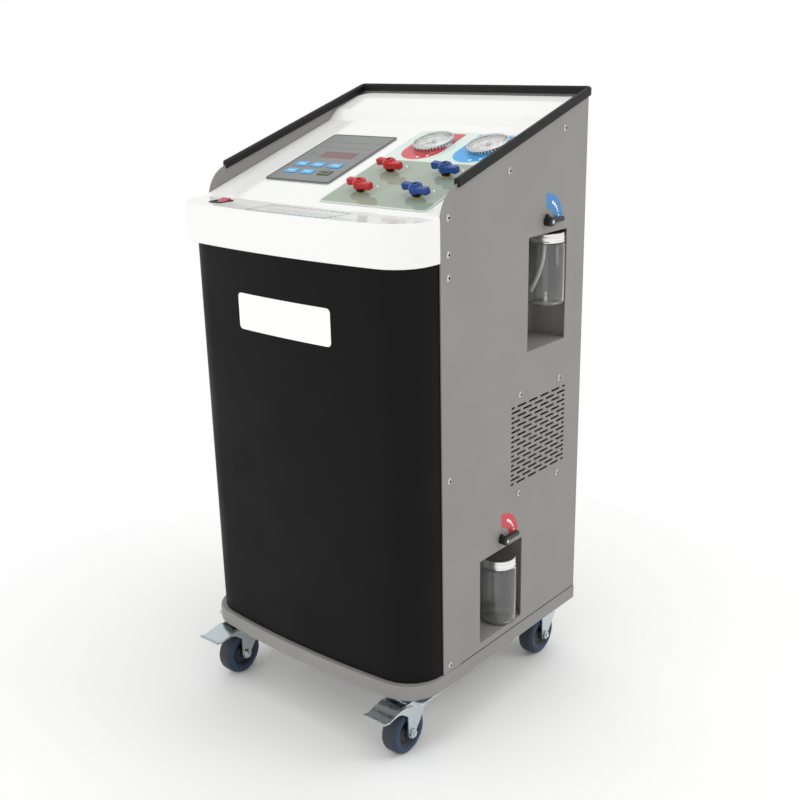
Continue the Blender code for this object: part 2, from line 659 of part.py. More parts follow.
def rear_panel(surface, machine):
    # A flat cover between the two returns, with an air grille and the fittings' holes
    half = SIDE - REAR_RETURN - GAP
    panel = box("rear_panel", (-half, half), (DEPTH - PANEL_WALL, DEPTH), (BASE_TOP + GAP, top_line(DEPTH)),
                surface, machine)
    slots = []
    for row in range(REAR_ROWS):
        z = REAR_VENT_Z + REAR_ROW_PITCH * row
        for k in range(REAR_COLUMNS):
            x = REAR_SLOT_PITCH * (k - (REAR_COLUMNS - 1) / 2)
            slots.append(slot_outline(x - REAR_SLOT / 2, x + REAR_SLOT / 2, z - SLOT_HEIGHT / 2, z + SLOT_HEIGHT / 2))
    slots.append(rectangle(INLET_X - INLET_SIZE[0] / 2 - GAP, INLET_X + INLET_SIZE[0] / 2 + GAP,
                           INLET_Z - INLET_SIZE[1] / 2 - GAP, INLET_Z + INLET_SIZE[1] / 2 + GAP))
    for x in FITTING_X:
        slots.append(arc((x, FITTING_Z), FITTING_RADIUS + GAP, 0, 2 * math.pi * 15 / 16, 15))
    tool = many_prisms("rear_cuts", slots, DEPTH - PANEL_WALL - 3 * MM, DEPTH + 3 * MM, machine, "y")
    return cut(panel, tool)


def front_panel(surface, machine):
    # Bowed sheet from the tray up to the hood, its edges inside the side panels
    half = INNER - GAP
    outer = bow_line(half, FRONT_REACH, FRONT_CORNER, FRONT_LAP)
    inner = bow_line(half, FRONT_REACH, FRONT_CORNER, FRONT_LAP, FRONT_WALL)
    tops = [HOOD_BOTTOM - GAP] * len(outer)
    return wall_strip("front_panel", outer, inner, BASE_TOP + GAP, tops, surface, machine)


def hood_line():
    # Side profile of the hood's top, from ahead of the skirt to the rear edge, with its fillets
    step_low = LEDGE_HEIGHT + CONTROL_SLOPE * (STEP_BACK - LEDGE_BACK)
    step_high = step_low + STEP_RISE
    shelf_back = STEP_BACK + STEP_DEPTH
    shelf_high = step_high + SHELF_SLOPE * (HOOD_BACK - shelf_back)
    return [
        (-HOOD_FRONT - HOOD_CORNER, LEDGE_HEIGHT, 0),
        (LEDGE_BACK, LEDGE_HEIGHT, LEDGE_FILLET),
        (STEP_BACK, step_low, STEP_FILLET),
        (shelf_back, step_high, STEP_FILLET),
        (HOOD_BACK + HOOD_WALL, shelf_high + SHELF_SLOPE * HOOD_WALL, 0),
    ]


def hood_profile(drop, low):
    # The closed side outline, lowered by a wall for the inside
    line = hood_line()
    points = [(y, z - drop) for y, z, r in line]
    radii = [r for y, z, r in line]
    outline = points + [(points[-1][0], low), (points[0][0], low)]
    return rounded(outline, radii + [0, 0], 3)


def hood(surface, machine):
    # One glossy moulding: bowed skirt, ledge, control slope, step and rear shelf
    reach = WIDTH
    low = HOOD_BOTTOM - 20 * MM
    back = HOOD_BACK + HOOD_WALL
    block = with_round_rear(bow_line(SIDE, HOOD_FRONT, HOOD_CORNER, 0), SIDE, back, HOOD_REAR_RADIUS)
    shell = prism("hood", block, HOOD_BOTTOM, TOP_START + WIDTH, surface, machine)
    combine(shell, prism("hood_top", hood_profile(0, low), -reach, reach, None, machine, "x"), "INTERSECT")
    edge = shell.modifiers.new("Edges", "BEVEL")
    edge.width = HOOD_EDGE
    edge.segments = 2
    edge.limit_method = "ANGLE"
    edge.angle_limit = math.radians(60)
    for hand in (-1, 1):
        sides = sorted((hand * (INNER - GAP), hand * (SIDE + 20 * MM)))
        cut(shell, box("hood_side", sides, (-GAP, DEPTH + 20 * MM), (low, TOP_START + WIDTH), None, machine))
    inside = bow_line(INNER - GAP, HOOD_FRONT, HOOD_CORNER, HOOD_BACK, HOOD_WALL)
    inside = with_round_rear(inside, INNER - GAP - HOOD_WALL, back - HOOD_WALL, HOOD_REAR_RADIUS - HOOD_WALL)
    cavity = prism("hood_cavity", inside, HOOD_BOTTOM + HOOD_WALL, TOP_START + WIDTH, None, machine)
    combine(cavity, prism("hood_ceiling", hood_profile(HOOD_WALL, low), -reach, reach, None, machine, "x"),
            "INTERSECT")
    cut(shell, cavity)
    mouth = bow_line(INNER - GAP, HOOD_FRONT, HOOD_CORNER, 0, HOOD_LIP)
    mouth = with_round_rear(mouth, INNER - GAP - HOOD_LIP, back - HOOD_LIP, HOOD_REAR_RADIUS - HOOD_LIP)
    cut(shell, prism("hood_mouth", mouth, low, HOOD_BOTTOM + 2 * HOOD_WALL, None, machine))
    cut(shell, box("hood_sides", (-reach, reach), (FRONT_LAP, DEPTH + 20 * MM), (low, HOOD_SIDES), None, machine))
    return shell


def hood_holes(shell, machine, slope):
    # Cut-outs for the keypad, rocker, valve bonnets and gauge cases
    deep = -30 * MM
    high = 20 * MM
    pad = box("keypad_hole", (KEYPAD_X[0] + KEYPAD_LIP, KEYPAD_X[1] - KEYPAD_LIP),
              (KEYPAD_S[0] + KEYPAD_LIP, KEYPAD_S[1] - KEYPAD_LIP), (deep, high), None, slope)
    cut(shell, pad)
    half = [size / 2 - ROCKER_LIP + GAP for size in ROCKER_BEZEL]
    cut(shell, box("rocker_hole", (ROCKER_X - half[0], ROCKER_X + half[0]), (ROCKER_Y - half[1], ROCKER_Y + half[1]),
                   (LEDGE_HEIGHT - 20 * MM, LEDGE_HEIGHT + 20 * MM), None, machine))
    circles = []
    for x in VALVE_X:
        for s in VALVE_S:
            circles.append(arc((x, s), BONNET_RADIUS + 2 * GAP, 0, 2 * math.pi * 11 / 12, 11))
    for x in GAUGE_X:
        circles.append(arc((x, GAUGE_S), GAUGE_BARREL + 2 * GAP, 0, 2 * math.pi * 23 / 24, 23))
    cut(shell, many_prisms("slope_holes", circles, deep, high, slope, "z"))


def edge_trim(surface, machine):
    # Rubber channel pushed over the panel edges: left slope, across the back, right slope
    mid = PANEL_WALL / 2
    slot = PANEL_WALL / 2 + GAP
    wide = TRIM_WIDTH / 2
    shoulder = TRIM_HEAD - TRIM_CHAMFER
    section = [
        (-wide, -TRIM_LEG), (-wide, shoulder), (-wide + TRIM_CHAMFER, TRIM_HEAD),
        (wide - TRIM_CHAMFER, TRIM_HEAD), (wide, shoulder), (wide, -TRIM_LEG),
        (slot, -TRIM_LEG), (slot, GAP), (-slot, GAP), (-slot, -TRIM_LEG),
    ]
    path = panel_stations(mid, TRIM_START)
    centre = (SIDE - REAR_RADIUS, DEPTH - REAR_RADIUS)
    stations = []
    for k, (x, y) in enumerate(path):
        angle = 0 if k == 0 else math.pi / 2 * (k - 1) / 6
        stations.append((x, y, math.cos(angle), math.sin(angle)))
    stations += [(-x, y, -nx, ny) for x, y, nx, ny in reversed(stations)]
    loops = []
    for x, y, nx, ny in stations:
        loop = []
        for out, up in section:
            py = y + ny * out
            edge = top_line(min(y + ny * mid, DEPTH))
            loop.append((x + nx * out, py, edge + up))
        loops.append(loop)
    return loft("edge_trim", loops, surface, machine)


def jar_bay(name, across, upright, surface, machine):
    # A recess box behind the side panel, open towards the outside, with a flange
    front = INNER - GAP
    back = SIDE - BAY_DEPTH

    def level(x, grow):
        return [(x, y, z) for y, z in bay_outline(across, upright, BAY_SIDE, grow)]
    loops = [
        level(back, 0), level(front, 0), level(front, BAY_FLANGE), level(front - BAY_WALL, BAY_FLANGE),
        level(front - BAY_WALL, BAY_WALL), level(back - BAY_WALL, BAY_WALL),
    ]
    return loft(name, loops, surface, machine)


def keypad(surfaces, slope):
    # Bezel with a shallow rear body, the display window and six sprung keys
    bezel = prism("keypad_bezel", rounded(rectangle(*KEYPAD_X, *KEYPAD_S), KEYPAD_CORNER, 3), GAP, KEYPAD_PROUD,
                  surfaces["keypad"], slope)
    inset = KEYPAD_LIP + GAP
    join(bezel, box("keypad_body", (KEYPAD_X[0] + inset, KEYPAD_X[1] - inset),
                    (KEYPAD_S[0] + inset, KEYPAD_S[1] - inset), (-KEYPAD_BODY, KEYPAD_PROUD / 2), None, slope))
    window_x = [KEYPAD_X[0] + WINDOW_PLACE[0], KEYPAD_X[0] + WINDOW_PLACE[0] + WINDOW_SIZE[0]]
    window_s = [KEYPAD_S[0] + WINDOW_PLACE[1], KEYPAD_S[0] + WINDOW_PLACE[1] + WINDOW_SIZE[1]]
    cut(bezel, box("window_hole", (window_x[0] - GAP, window_x[1] + GAP), (window_s[0] - GAP, window_s[1] + GAP),
                   (KEYPAD_PROUD - WINDOW_THICK - GAP, KEYPAD_PROUD + 5 * MM), None, slope))
    places = [(KEYPAD_X[0] + x, KEYPAD_S[0] + s) for s in reversed(KEY_ROWS) for x in KEY_COLUMNS]
    wide = KEY_SIZE[0] / 2
    tall = KEY_SIZE[1] / 2
    pockets = []
    for x, s in places:
        pocket = rectangle(x - wide - KEY_CLEARANCE, x + wide + KEY_CLEARANCE, s - tall - KEY_CLEARANCE,
                           s + tall + KEY_CLEARANCE)
        pockets.append(rounded(pocket, KEY_CORNER, 2))
    floor = KEYPAD_PROUD - KEY_THICK - KEY_TRAVEL
    cut(bezel, many_prisms("key_pockets", pockets, floor - GAP, KEYPAD_PROUD + 5 * MM, slope, "z"))
    box("display_window", window_x, window_s, (KEYPAD_PROUD - WINDOW_THICK, KEYPAD_PROUD - GAP),
        surfaces["window"], slope)
    top = KEYPAD_PROUD + KEY_PROUD
    for number, (x, s) in enumerate(places):
        green = number == len(places) - 1
        outline = rounded(rectangle(x - wide, x + wide, s - tall, s + tall), KEY_CORNER, 2)
        inner = rectangle(x - wide + KEY_CLEARANCE, x + wide - KEY_CLEARANCE, s - tall + KEY_CLEARANCE,
                          s + tall - KEY_CLEARANCE)
        loops = [[(a, b, floor + KEY_TRAVEL) for a, b in outline],
                 [(a, b, top - KEY_CLEARANCE) for a, b in outline],
                 [(a, b, top) for a, b in rounded(inner, KEY_CORNER, 2)]]
        loft("key_%d" % (number + 1), loops, surfaces["green_key" if green else "blue_key"], slope)


def rocker(surfaces, machine):
    # Snap-in switch on the ledge: a frame with a body below, and the tilting cap
    half = [size / 2 for size in ROCKER_BEZEL]
    inner = [size / 2 + 2 * GAP for size in ROCKER_SIZE]
    body = [h - ROCKER_LIP for h in half]
    place = (ROCKER_X, ROCKER_Y, LEDGE_HEIGHT)

    def level(sizes, z, radius):
        return [(x, y, z) for x, y in rounded(rectangle(-sizes[0], sizes[0], -sizes[1], sizes[1]), radius, 2)]
    loops = [
        level(inner, -ROCKER_WELL, 0.6 * MM), level(inner, ROCKER_FRAME, 0.6 * MM), level(half, ROCKER_FRAME, 2 * MM),
        level(half, GAP, 2 * MM), level(body, GAP, 1 * MM), level(body, -ROCKER_WELL - 3 * MM, 1 * MM),
    ]
    loft("rocker_frame", loops, surfaces["black_plastic"], machine, place)
    long = ROCKER_SIZE[1] / 2
    rise = long * math.tan(math.radians(ROCKER_TILT))
    cap = [(-long, ROCKER_FRAME), (0, ROCKER_FRAME - rise * 0.55), (long, ROCKER_FRAME),
           (long * 0.9, -rise - 1 * MM), (0, -ROCKER_WELL + 3 * MM), (-long * 0.9, -rise - 1 * MM)]
    wide = ROCKER_SIZE[0] / 2
    loops = [[(x, y, z) for y, z in cap] for x in (-wide, wide)]
    pivot = (ROCKER_X, ROCKER_Y, LEDGE_HEIGHT + ROCKER_PIVOT)
    loops = [[(x, y, z - ROCKER_PIVOT) for x, y, z in loop] for loop in loops]
    loft("rocker_cap", loops, surfaces["red_plastic"], machine, pivot, (math.radians(ROCKER_TILT), 0, 0))


def valve_plate(surfaces, slope):
    # Thin plate on the slope with holes for the bonnets and gauge barrels
    plate = prism("valve_plate", rounded(rectangle(*PLATE_X, *PLATE_S), PLATE_CORNER, 4), GAP, GAP + PLATE_THICK,
                  surfaces["film"], slope)
    circles = []
    for x in VALVE_X:
        for s in VALVE_S:
            circles.append(arc((x, s), BONNET_RADIUS + GAP, 0, 2 * math.pi * 11 / 12, 11))
    for x in GAUGE_X:
        circles.append(arc((x, GAUGE_S), GAUGE_BARREL + GAP, 0, 2 * math.pi * 23 / 24, 23))
    return cut(plate, many_prisms("plate_holes", circles, -5 * MM, 5 * MM, slope, "z"))


def manifold(surfaces, slope):
    # Brass block under the hood with four bonnets that come up through it
    top = -HOOD_WALL / math.cos(SLOPE_ANGLE) - GAP
    edge = MANIFOLD_EDGE
    block = box("manifold_block", (VALVE_X[0] - edge, VALVE_X[1] + edge), (VALVE_S[0] - edge, VALVE_S[1] + edge),
                (top - MANIFOLD_THICK, top), surfaces["brass"], slope)
    for x in VALVE_X:
        for s in VALVE_S:
            bonnet = [(BONNET_RADIUS, top - 5 * MM), (BONNET_RADIUS, GAP + PLATE_THICK + BONNET_RISE)]
            tool = turned("bonnet", bonnet + [(0, 0)], None, slope, 12, (x, s, 0))
            join(block, tool)
            pocket = [(STEM_RADIUS + GAP, top), (STEM_RADIUS + GAP, BONNET_TOP + 5 * MM), (0, 0)]
            cut(block, turned("stem_pocket", pocket, None, slope, 12, (x, s, 0)))
    return block


def valve_handle(name, x, s, surface, slope):
    # Dipped lever handle: a hub with a socket on top and two flared wings set off to opposite sides
    low = BONNET_TOP + GAP
    high = low + HANDLE_THICK
    hub = [(STEM_RADIUS, BONNET_TOP - STEM_DEPTH), (STEM_RADIUS, low), (HANDLE_HUB - 1 * MM, low),
           (HANDLE_HUB, low + 1 * MM), (HANDLE_HUB, high - 1.5 * MM), (HANDLE_HUB - 1.5 * MM, high),
           (HANDLE_SOCKET, high), (HANDLE_SOCKET, high - 2.5 * MM), (0, high - 2.5 * MM)]
    handle = turned(name, hub, surface, slope, 16, (x, s, 0))
    reach = HANDLE_LENGTH / 2
    for hand in (-1, 1):
        # distance along the wing, nearer and further edge across it, lowered or raised by the flare
        stations = [(HANDLE_SOCKET + 1 * MM, 1 * MM, HANDLE_HUB - 0.5 * MM, 1.2 * MM),
                    (HANDLE_HUB + 3 * MM, 1.2 * MM, HANDLE_HUB - 0.8 * MM, 1.2 * MM),
                    (reach - 3 * MM, 0.4 * MM, HANDLE_HUB + 0.4 * MM, 0.3 * MM),
                    (reach, 1.4 * MM, HANDLE_HUB - 0.8 * MM, 1.4 * MM)]
        loops = []
        for along, near, far, slim in stations:
            middle = (low + high) / 2
            tall = HANDLE_THICK / 2 - slim
            loop = rounded(rectangle(near, far, -tall, tall), 1.6 * MM, 2)
            loops.append([(hand * along, -hand * a, middle + b) for a, b in loop])
        join(handle, loft("wing", loops, None, slope, (x, s, 0)))
    return handle


def gauge(side, x, surfaces, slope):
    # Round case with a chrome rim standing on the plate, a needle and a glass
    base = GAP + PLATE_THICK + GAP
    top = base + GAUGE_RIM
    dial = top - GAUGE_DIAL_DROP
    case = [
        (GAUGE_RADIUS - GAUGE_LIP - 2 * MM, dial), (GAUGE_RADIUS - GAUGE_LIP - 2 * MM, top - 3 * MM),
        (GAUGE_RADIUS - GAUGE_LIP, top - 3 * MM), (GAUGE_RADIUS - GAUGE_LIP, top - 0.6 * MM),
        (GAUGE_RADIUS - GAUGE_LIP * 0.6, top), (GAUGE_RADIUS, top - 1.5 * MM),
        (GAUGE_RADIUS, base), (GAUGE_BARREL, base), (GAUGE_BARREL, base - GAUGE_DEPTH), (0, base - GAUGE_DEPTH),
    ]
    turned("gauge_case_%s" % side, case, surfaces["chrome"], slope, 32, (x, GAUGE_S, 0))
    needle = [(-1.1 * MM, -7 * MM), (1.1 * MM, -7 * MM), (0.4 * MM, NEEDLE_LENGTH), (-0.4 * MM, NEEDLE_LENGTH)]
    pointer = prism("gauge_needle_%s" % side, needle, dial + 1.2 * MM, dial + 1.9 * MM, surfaces["needle"], slope, "z",
                    (x, GAUGE_S, 0), (0, 0, math.radians(NEEDLE_REST)))
    join(pointer, turned("needle_hub", [(3 * MM, dial + GAP), (3 * MM, dial + 2.4 * MM), (0, 0)], None, slope, 12,
                         (x, GAUGE_S, 0)))
    glass = [(GAUGE_RADIUS - GAUGE_LIP - GAP, top - 3 * MM + GAP), (GAUGE_RADIUS - GAUGE_LIP - GAP, top - 1.2 * MM),
             (0, 0)]
    turned("gauge_glass_%s" % side, glass, surfaces["glass"], slope, 32, (x, GAUGE_S, 0))


def oil_knob(name, place, surface, machine):
    # Drain valve knob: round grip, long flat lever and a small pointer on a stem through the panel
    start = SIDE + GAP
    profile = [(KNOB_STEM, -KNOB_INSIDE), (KNOB_STEM, 0), (KNOB_RADIUS, 0), (KNOB_RADIUS, KNOB_LENGTH - 2 * MM),
               (KNOB_RADIUS - 2 * MM, KNOB_LENGTH), (0, KNOB_LENGTH)]
    y, z = place
    knob = turned(name, profile, surface, machine, 16, (start, y, z), (0, math.pi / 2, 0))
    lever = rounded(rectangle(0, LEVER_LENGTH, -LEVER_HALF, LEVER_HALF), [0, LEVER_HALF * 0.75, LEVER_HALF * 0.75, 0], 2)
    join(knob, prism("lever", lever, *LEVER_RISE, None, machine, "x", (start, y, z)))
    pointer = [(-5 * MM, 2 * MM), (1 * MM, 5 * MM), (-4 * MM, 12.5 * MM), (-6 * MM, 12 * MM)]
    join(knob, prism("pointer", pointer, 2 * MM, 8 * MM, None, machine, "x", (start, y, z)))
    return knob


def jar_set(level, y, base, surfaces, machine):
    # Clear jar under a knurled aluminium lid; their screw threads are left out
    neck = JAR_HEIGHT - 2 * MM
    inner = JAR_RADIUS - JAR_WALL
    mouth = LID_RADIUS - LID_WALL - GAP
    profile = [
        (0, JAR_BASE), (inner - 3 * MM, JAR_BASE), (inner, JAR_BASE + 3 * MM), (inner, neck - 3 * MM), (mouth - JAR_WALL, neck),
        (mouth - JAR_WALL, JAR_HEIGHT + LID_HEIGHT - LID_WALL - GAP), (mouth, JAR_HEIGHT + LID_HEIGHT - LID_WALL - GAP),
        (mouth, neck), (JAR_RADIUS, neck - 3 * MM), (JAR_RADIUS, 3 * MM), (JAR_RADIUS - 3 * MM, 0), (0, 0),
    ]
    turned("oil_jar_%s" % level, profile, surfaces["jar"], machine, 28, (JAR_X, y, base))
    skirt = JAR_HEIGHT + GAP
    top = JAR_HEIGHT + LID_HEIGHT
    lid = [
        (0, top - LID_WALL), (LID_RADIUS - LID_WALL, top - LID_WALL), (LID_RADIUS - LID_WALL, skirt),
        (LID_RADIUS + LID_BEAD, skirt), (LID_RADIUS + LID_BEAD, skirt + 3 * MM), (LID_RADIUS, skirt + 4 * MM),
        (LID_RADIUS, top - 1.5 * MM), (LID_RADIUS - 1.5 * MM, top), (0, top),
    ]
    return turned("jar_lid_%s" % level, lid, surfaces["aluminium"], machine, 28, (JAR_X, y, base))


def drip_neck(lid, y, base, ceiling, machine):
    # Threaded spigot that holds the upper lid under the bay's ceiling
    top = JAR_HEIGHT + LID_HEIGHT
    neck = [(SPIGOT_RADIUS, top - LID_WALL / 2), (SPIGOT_RADIUS, ceiling - base - GAP), (0, 0)]
    join(lid, turned("lid_spigot", neck, None, machine, 12, (JAR_X, y, base)))


def dip_tube(y, base, surfaces, machine):
    # Bent hose hanging from the upper lid into its jar
    start = (JAR_X, y, base + JAR_HEIGHT + LID_HEIGHT - LID_WALL - GAP)
    ends = [start, (JAR_X, y, start[2] - TUBE_DROP / 2), (JAR_X, y - TUBE_SWING, start[2] - TUBE_DROP)]
    loops = []
    steps = 10
    for k in range(steps + 1):
        t = k / steps
        a, b, c = (1 - t) ** 2, 2 * t * (1 - t), t * t
        p = [a * u + b * v + c * w for u, v, w in zip(*ends)]
        d = [2 * (1 - t) * (v - u) + 2 * t * (w - v) for u, v, w in zip(*ends)]
        lean = math.atan2(d[1], -d[2])
        loop = []
        for s in range(8):
            angle = 2 * math.pi * s / 8
            side = TUBE_RADIUS * math.cos(angle)
            along = TUBE_RADIUS * math.sin(angle)
            loop.append((p[0] + side, p[1] + along * math.cos(lean), p[2] + along * math.sin(lean)))
        loops.append(loop)
    return loft("dip_tube", loops, surfaces["tube"], machine)


def caster_fork_side(braked):
    # Side outline of a fork leg around its kingpin, (Y, Z), with an ear for the pedal's pin
    top = CASTER_HEIGHT - CASTER_PLATE_THICK - GAP - FORK_RACE
    axle = (-CASTER_TRAIL, WHEEL_RADIUS)
    boss = FORK_BOSS
    lower = arc(axle, boss, math.pi, math.pi * 1.85, 5)
    front = [(axle[0] - boss, top)]
    if braked:
        pin = (axle[0] + PEDAL_PIVOT[0], PEDAL_PIVOT[1])
        front = [(pin[0] - 6 * MM, top), (pin[0] - 6 * MM, pin[1] - 4 * MM), (axle[0] - boss, pin[1] - 13 * MM)]
    return front + lower + [(14 * MM, top - 14 * MM), (16 * MM, top)]


def caster(name, x, wheel_y, braked, surfaces, machine):
    # Plate under the tray, swivel fork with its axle, wheel and, in front, a brake pedal
    pin_y = wheel_y + CASTER_TRAIL
    place = (x, pin_y, 0)
    plate_low = CASTER_HEIGHT - CASTER_PLATE_THICK
    half = [size / 2 for size in CASTER_PLATE]
    prism("%s_caster_plate" % name, rounded(rectangle(-half[0], half[0], -half[1], half[1]), CASTER_PLATE_CORNER, 2),
          plate_low, CASTER_HEIGHT, surfaces["zinc"], machine, "z", place)
    race_top = plate_low - GAP
    crown = race_top - FORK_RACE
    race = [(FORK_HEAD, crown - FORK_STEEL), (FORK_HEAD, crown), (FORK_HEAD - 3 * MM, crown + FORK_RACE / 3),
            (FORK_HEAD - 3 * MM, race_top), (0, race_top)]
    fork = turned("%s_caster_fork" % name, race, surfaces["zinc"], machine, 20, place)
    side = caster_fork_side(braked)
    for hand in (-1, 1):
        span = sorted((hand * FORK_INNER, hand * (FORK_INNER + FORK_STEEL)))
        join(fork, prism("leg", side, span[0], span[1], None, machine, "x", place))
    bridge = box("bridge", (-FORK_INNER - FORK_STEEL / 2, FORK_INNER + FORK_STEEL / 2),
                 (-CASTER_TRAIL - FORK_BOSS + 1 * MM, 15 * MM), (crown - FORK_STEEL, crown - 0.5 * MM), None, machine, place)
    join(fork, bridge)
    axle_place = (x, wheel_y, WHEEL_RADIUS)
    head = FORK_INNER + FORK_STEEL
    bolt, tall = AXLE_HEAD
    axle = [(bolt, -head - tall), (bolt, -head + 1 * MM), (AXLE_RADIUS, -head + 1 * MM),
            (AXLE_RADIUS, head - 1 * MM), (bolt, head - 1 * MM), (bolt, head + tall), (0, 0)]
    join(fork, turned("axle", axle, None, machine, 12, axle_place, (0, math.pi / 2, 0)))
    if braked:
        hole = [(PEDAL_PIN + GAP, -head - 5 * MM), (PEDAL_PIN + GAP, head + 5 * MM), (0, 0)]
        cut(fork, turned("pin_hole", hole, None, machine, 12, (x, wheel_y + PEDAL_PIVOT[0], PEDAL_PIVOT[1]),
                         (0, math.pi / 2, 0)))
    wide = WHEEL_WIDTH / 2
    bore = AXLE_RADIUS + GAP
    boss = FORK_INNER - GAP
    web = wide - HUB_RECESS
    wheel = [
        (bore, -boss), (HUB_BOSS, -boss), (HUB_BOSS, -web), (HUB_RADIUS, -web), (HUB_RADIUS, -wide + 2 * MM),
        (WHEEL_RADIUS - TYRE_SHOULDER, -wide), (WHEEL_RADIUS, -wide + TYRE_CROWN), (WHEEL_RADIUS, wide - TYRE_CROWN),
        (WHEEL_RADIUS - TYRE_SHOULDER, wide), (HUB_RADIUS, wide - 2 * MM), (HUB_RADIUS, web), (HUB_BOSS, web),
        (HUB_BOSS, boss), (bore, boss),
    ]
    turned("%s_wheel" % name, wheel, surfaces["tyre"], machine, 24, axle_place, (0, math.pi / 2, 0))
    if braked:
        pedal(name, x, wheel_y, surfaces, machine)


def pedal(name, x, wheel_y, surfaces, machine):
    # Pressed steel brake lever: a channel straddling the fork, flattening into a wide toothed lip
    tip = PEDAL_REACH + PEDAL_PIVOT[0]
    wide = PEDAL_HALF
    steel = FORK_STEEL
    inner = FORK_INNER + FORK_STEEL + GAP
    # distance ahead of the pivot, height of the top, depth of the side arms, half width
    stations = [
        (-16 * MM, 3 * MM, 7 * MM, inner + steel), (-5 * MM, 6 * MM, 11 * MM, inner + steel),
        (4 * MM, 9.5 * MM, 13 * MM, inner + steel), (12 * MM, 10 * MM, 9 * MM, inner + steel),
        (20 * MM, 9 * MM, 5 * MM, wide), (34 * MM, 6.5 * MM, steel + 0.5 * MM, wide),
        (44 * MM, 4 * MM, steel + GAP, wide), (tip, 7 * MM, steel + GAP, wide),
    ]
    loops = []
    for ahead, top, deep, half in stations:
        near = half - steel
        low = top - deep
        section = [(-half, low), (-half, top), (half, top), (half, low), (near, low), (near, top - steel),
                   (-near, top - steel), (-near, low)]
        loops.append([(a, -ahead, b) for a, b in section])
    place = (x, wheel_y + PEDAL_PIVOT[0], PEDAL_PIVOT[1])
    lever = loft("%s_brake_pedal" % name, loops, surfaces["zinc"], machine, place)
    # the fork's crown stays clear of the top plate, which starts ahead of the pivot
    cut(lever, box("pedal_window", (-inner, inner), (-6 * MM, 30 * MM),
                   (-20 * MM, 20 * MM), None, machine, place))
    pitch = 2 * (wide - 2 * MM) / PEDAL_TEETH
    gaps = []
    for k in range(PEDAL_TEETH):
        middle = -wide + 2 * MM + pitch * (k + 0.5)
        gaps.append(rectangle(middle - pitch / 4, middle + pitch / 4, -tip - 2 * MM, -tip + 5 * MM))
    cut(lever, many_prisms("pedal_teeth", gaps, -20 * MM, 20 * MM, lever, "z"))
    pin = [(PEDAL_PIN, -inner - steel / 2), (PEDAL_PIN, inner + steel / 2), (0, 0)]
    join(lever, turned("pedal_pin", pin, None, machine, 12, place, (0, math.pi / 2, 0)))


def refrigerant_tank(surfaces, machine):
    # Pressure vessel with dished ends on a foot ring and a valve stub
    r = TANK_RADIUS
    h = TANK_HEIGHT
    dish = h - TANK_SHOULDER
    profile = [(r * 0.78, 0), (r * 0.78, TANK_FOOT * 0.4), (r, TANK_FOOT), (r, dish), (r * 0.85, dish + TANK_SHOULDER * 0.4),
               (r * 0.5, dish + TANK_SHOULDER * 0.64), (TANK_NECK, dish + TANK_SHOULDER * 0.69), (TANK_NECK, h), (0, h)]
    turned("refrigerant_tank", profile, surfaces["tank"], machine, 24, (*TANK_PLACE, PLANT_FLOOR))


def compressor(surfaces, machine):
    # Welded hermetic pot with a seam round its middle, on a square foot
    r = COMPRESSOR_RADIUS
    h = COMPRESSOR_HEIGHT
    seam = r * COMPRESSOR_SEAM
    dome = COMPRESSOR_DOME
    profile = [(r * 0.8, BASE_FLOOR), (r * 0.8, dome / 3), (r, dome), (r, h * 0.55), (seam, h * 0.55),
               (seam, h * 0.6), (r, h * 0.6), (r, h - dome), (r * 0.7, h - dome / 4), (r * 0.3, h), (0, h)]
    place = (*COMPRESSOR_PLACE, PLANT_FLOOR)
    pot = turned("compressor", profile, surfaces["motor"], machine, 24, place)
    plate = rounded(rectangle(-r, r, -r, r), r / 6, 2)
    join(pot, prism("compressor_foot", plate, 0, BASE_FLOOR + 1 * MM, None, machine, "z", place))


def vacuum_pump(surfaces, machine):
    # Motor and pump in line, on a cast foot
    r = PUMP_RADIUS
    half = PUMP_LENGTH / 2
    rise = r + PUMP_FOOT
    profile = [(r * 0.8, -half), (r, -half * 0.92), (r, half * 0.1), (r * 0.7, half * 0.14), (r * 0.7, half * 0.24),
               (r * 0.86, half * 0.26), (r * 0.86, half), (0, half)]
    place = (PUMP_PLACE[0], PUMP_PLACE[1], PLANT_FLOOR + rise)
    pump = turned("vacuum_pump", profile, surfaces["motor"], machine, 20, place, (-math.pi / 2, 0, 0))
    join(pump, box("pump_foot", (-r * 0.6, r * 0.6), (-half * 0.8, half * 0.8), (0, rise), None, machine,
                   (PUMP_PLACE[0], PUMP_PLACE[1], PLANT_FLOOR)))


def condenser(surfaces, machine):
    # Finned coil with a sheet duct up to the vent and the fan's motor in the middle
    y = (VENT_Y[0] - DUCT_MARGIN, VENT_Y[1] + DUCT_MARGIN)
    z = (VENT_Z[0] - DUCT_MARGIN, VENT_Z[1] + DUCT_MARGIN)
    front = INNER - GAP
    duct = FAN_ROOM + COIL_THICK

    def level(x, grow):
        corners = rectangle(y[0] - grow, y[1] + grow, z[0] - grow, z[1] + grow)
        return [(x, a, b) for a, b in rounded(corners, DUCT_ROUND, 1)]
    loops = [level(front - FAN_ROOM, 0), level(front, 0), level(front, BAY_WALL), level(front - duct, BAY_WALL)]
    coil = loft("condenser", loops, surfaces["fins"], machine)
    radius, length = FAN_MOTOR
    shaft = length + FAN_HUB[1] - GAP
    motor = [(radius, -COIL_THICK / 4), (radius, length), (FAN_SHAFT, length), (FAN_SHAFT, shaft), (0, shaft)]
    place = (front - FAN_ROOM, (y[0] + y[1]) / 2, (z[0] + z[1]) / 2)
    join(coil, turned("fan_motor", motor, None, machine, 16, place, (0, math.pi / 2, 0)))
    return place


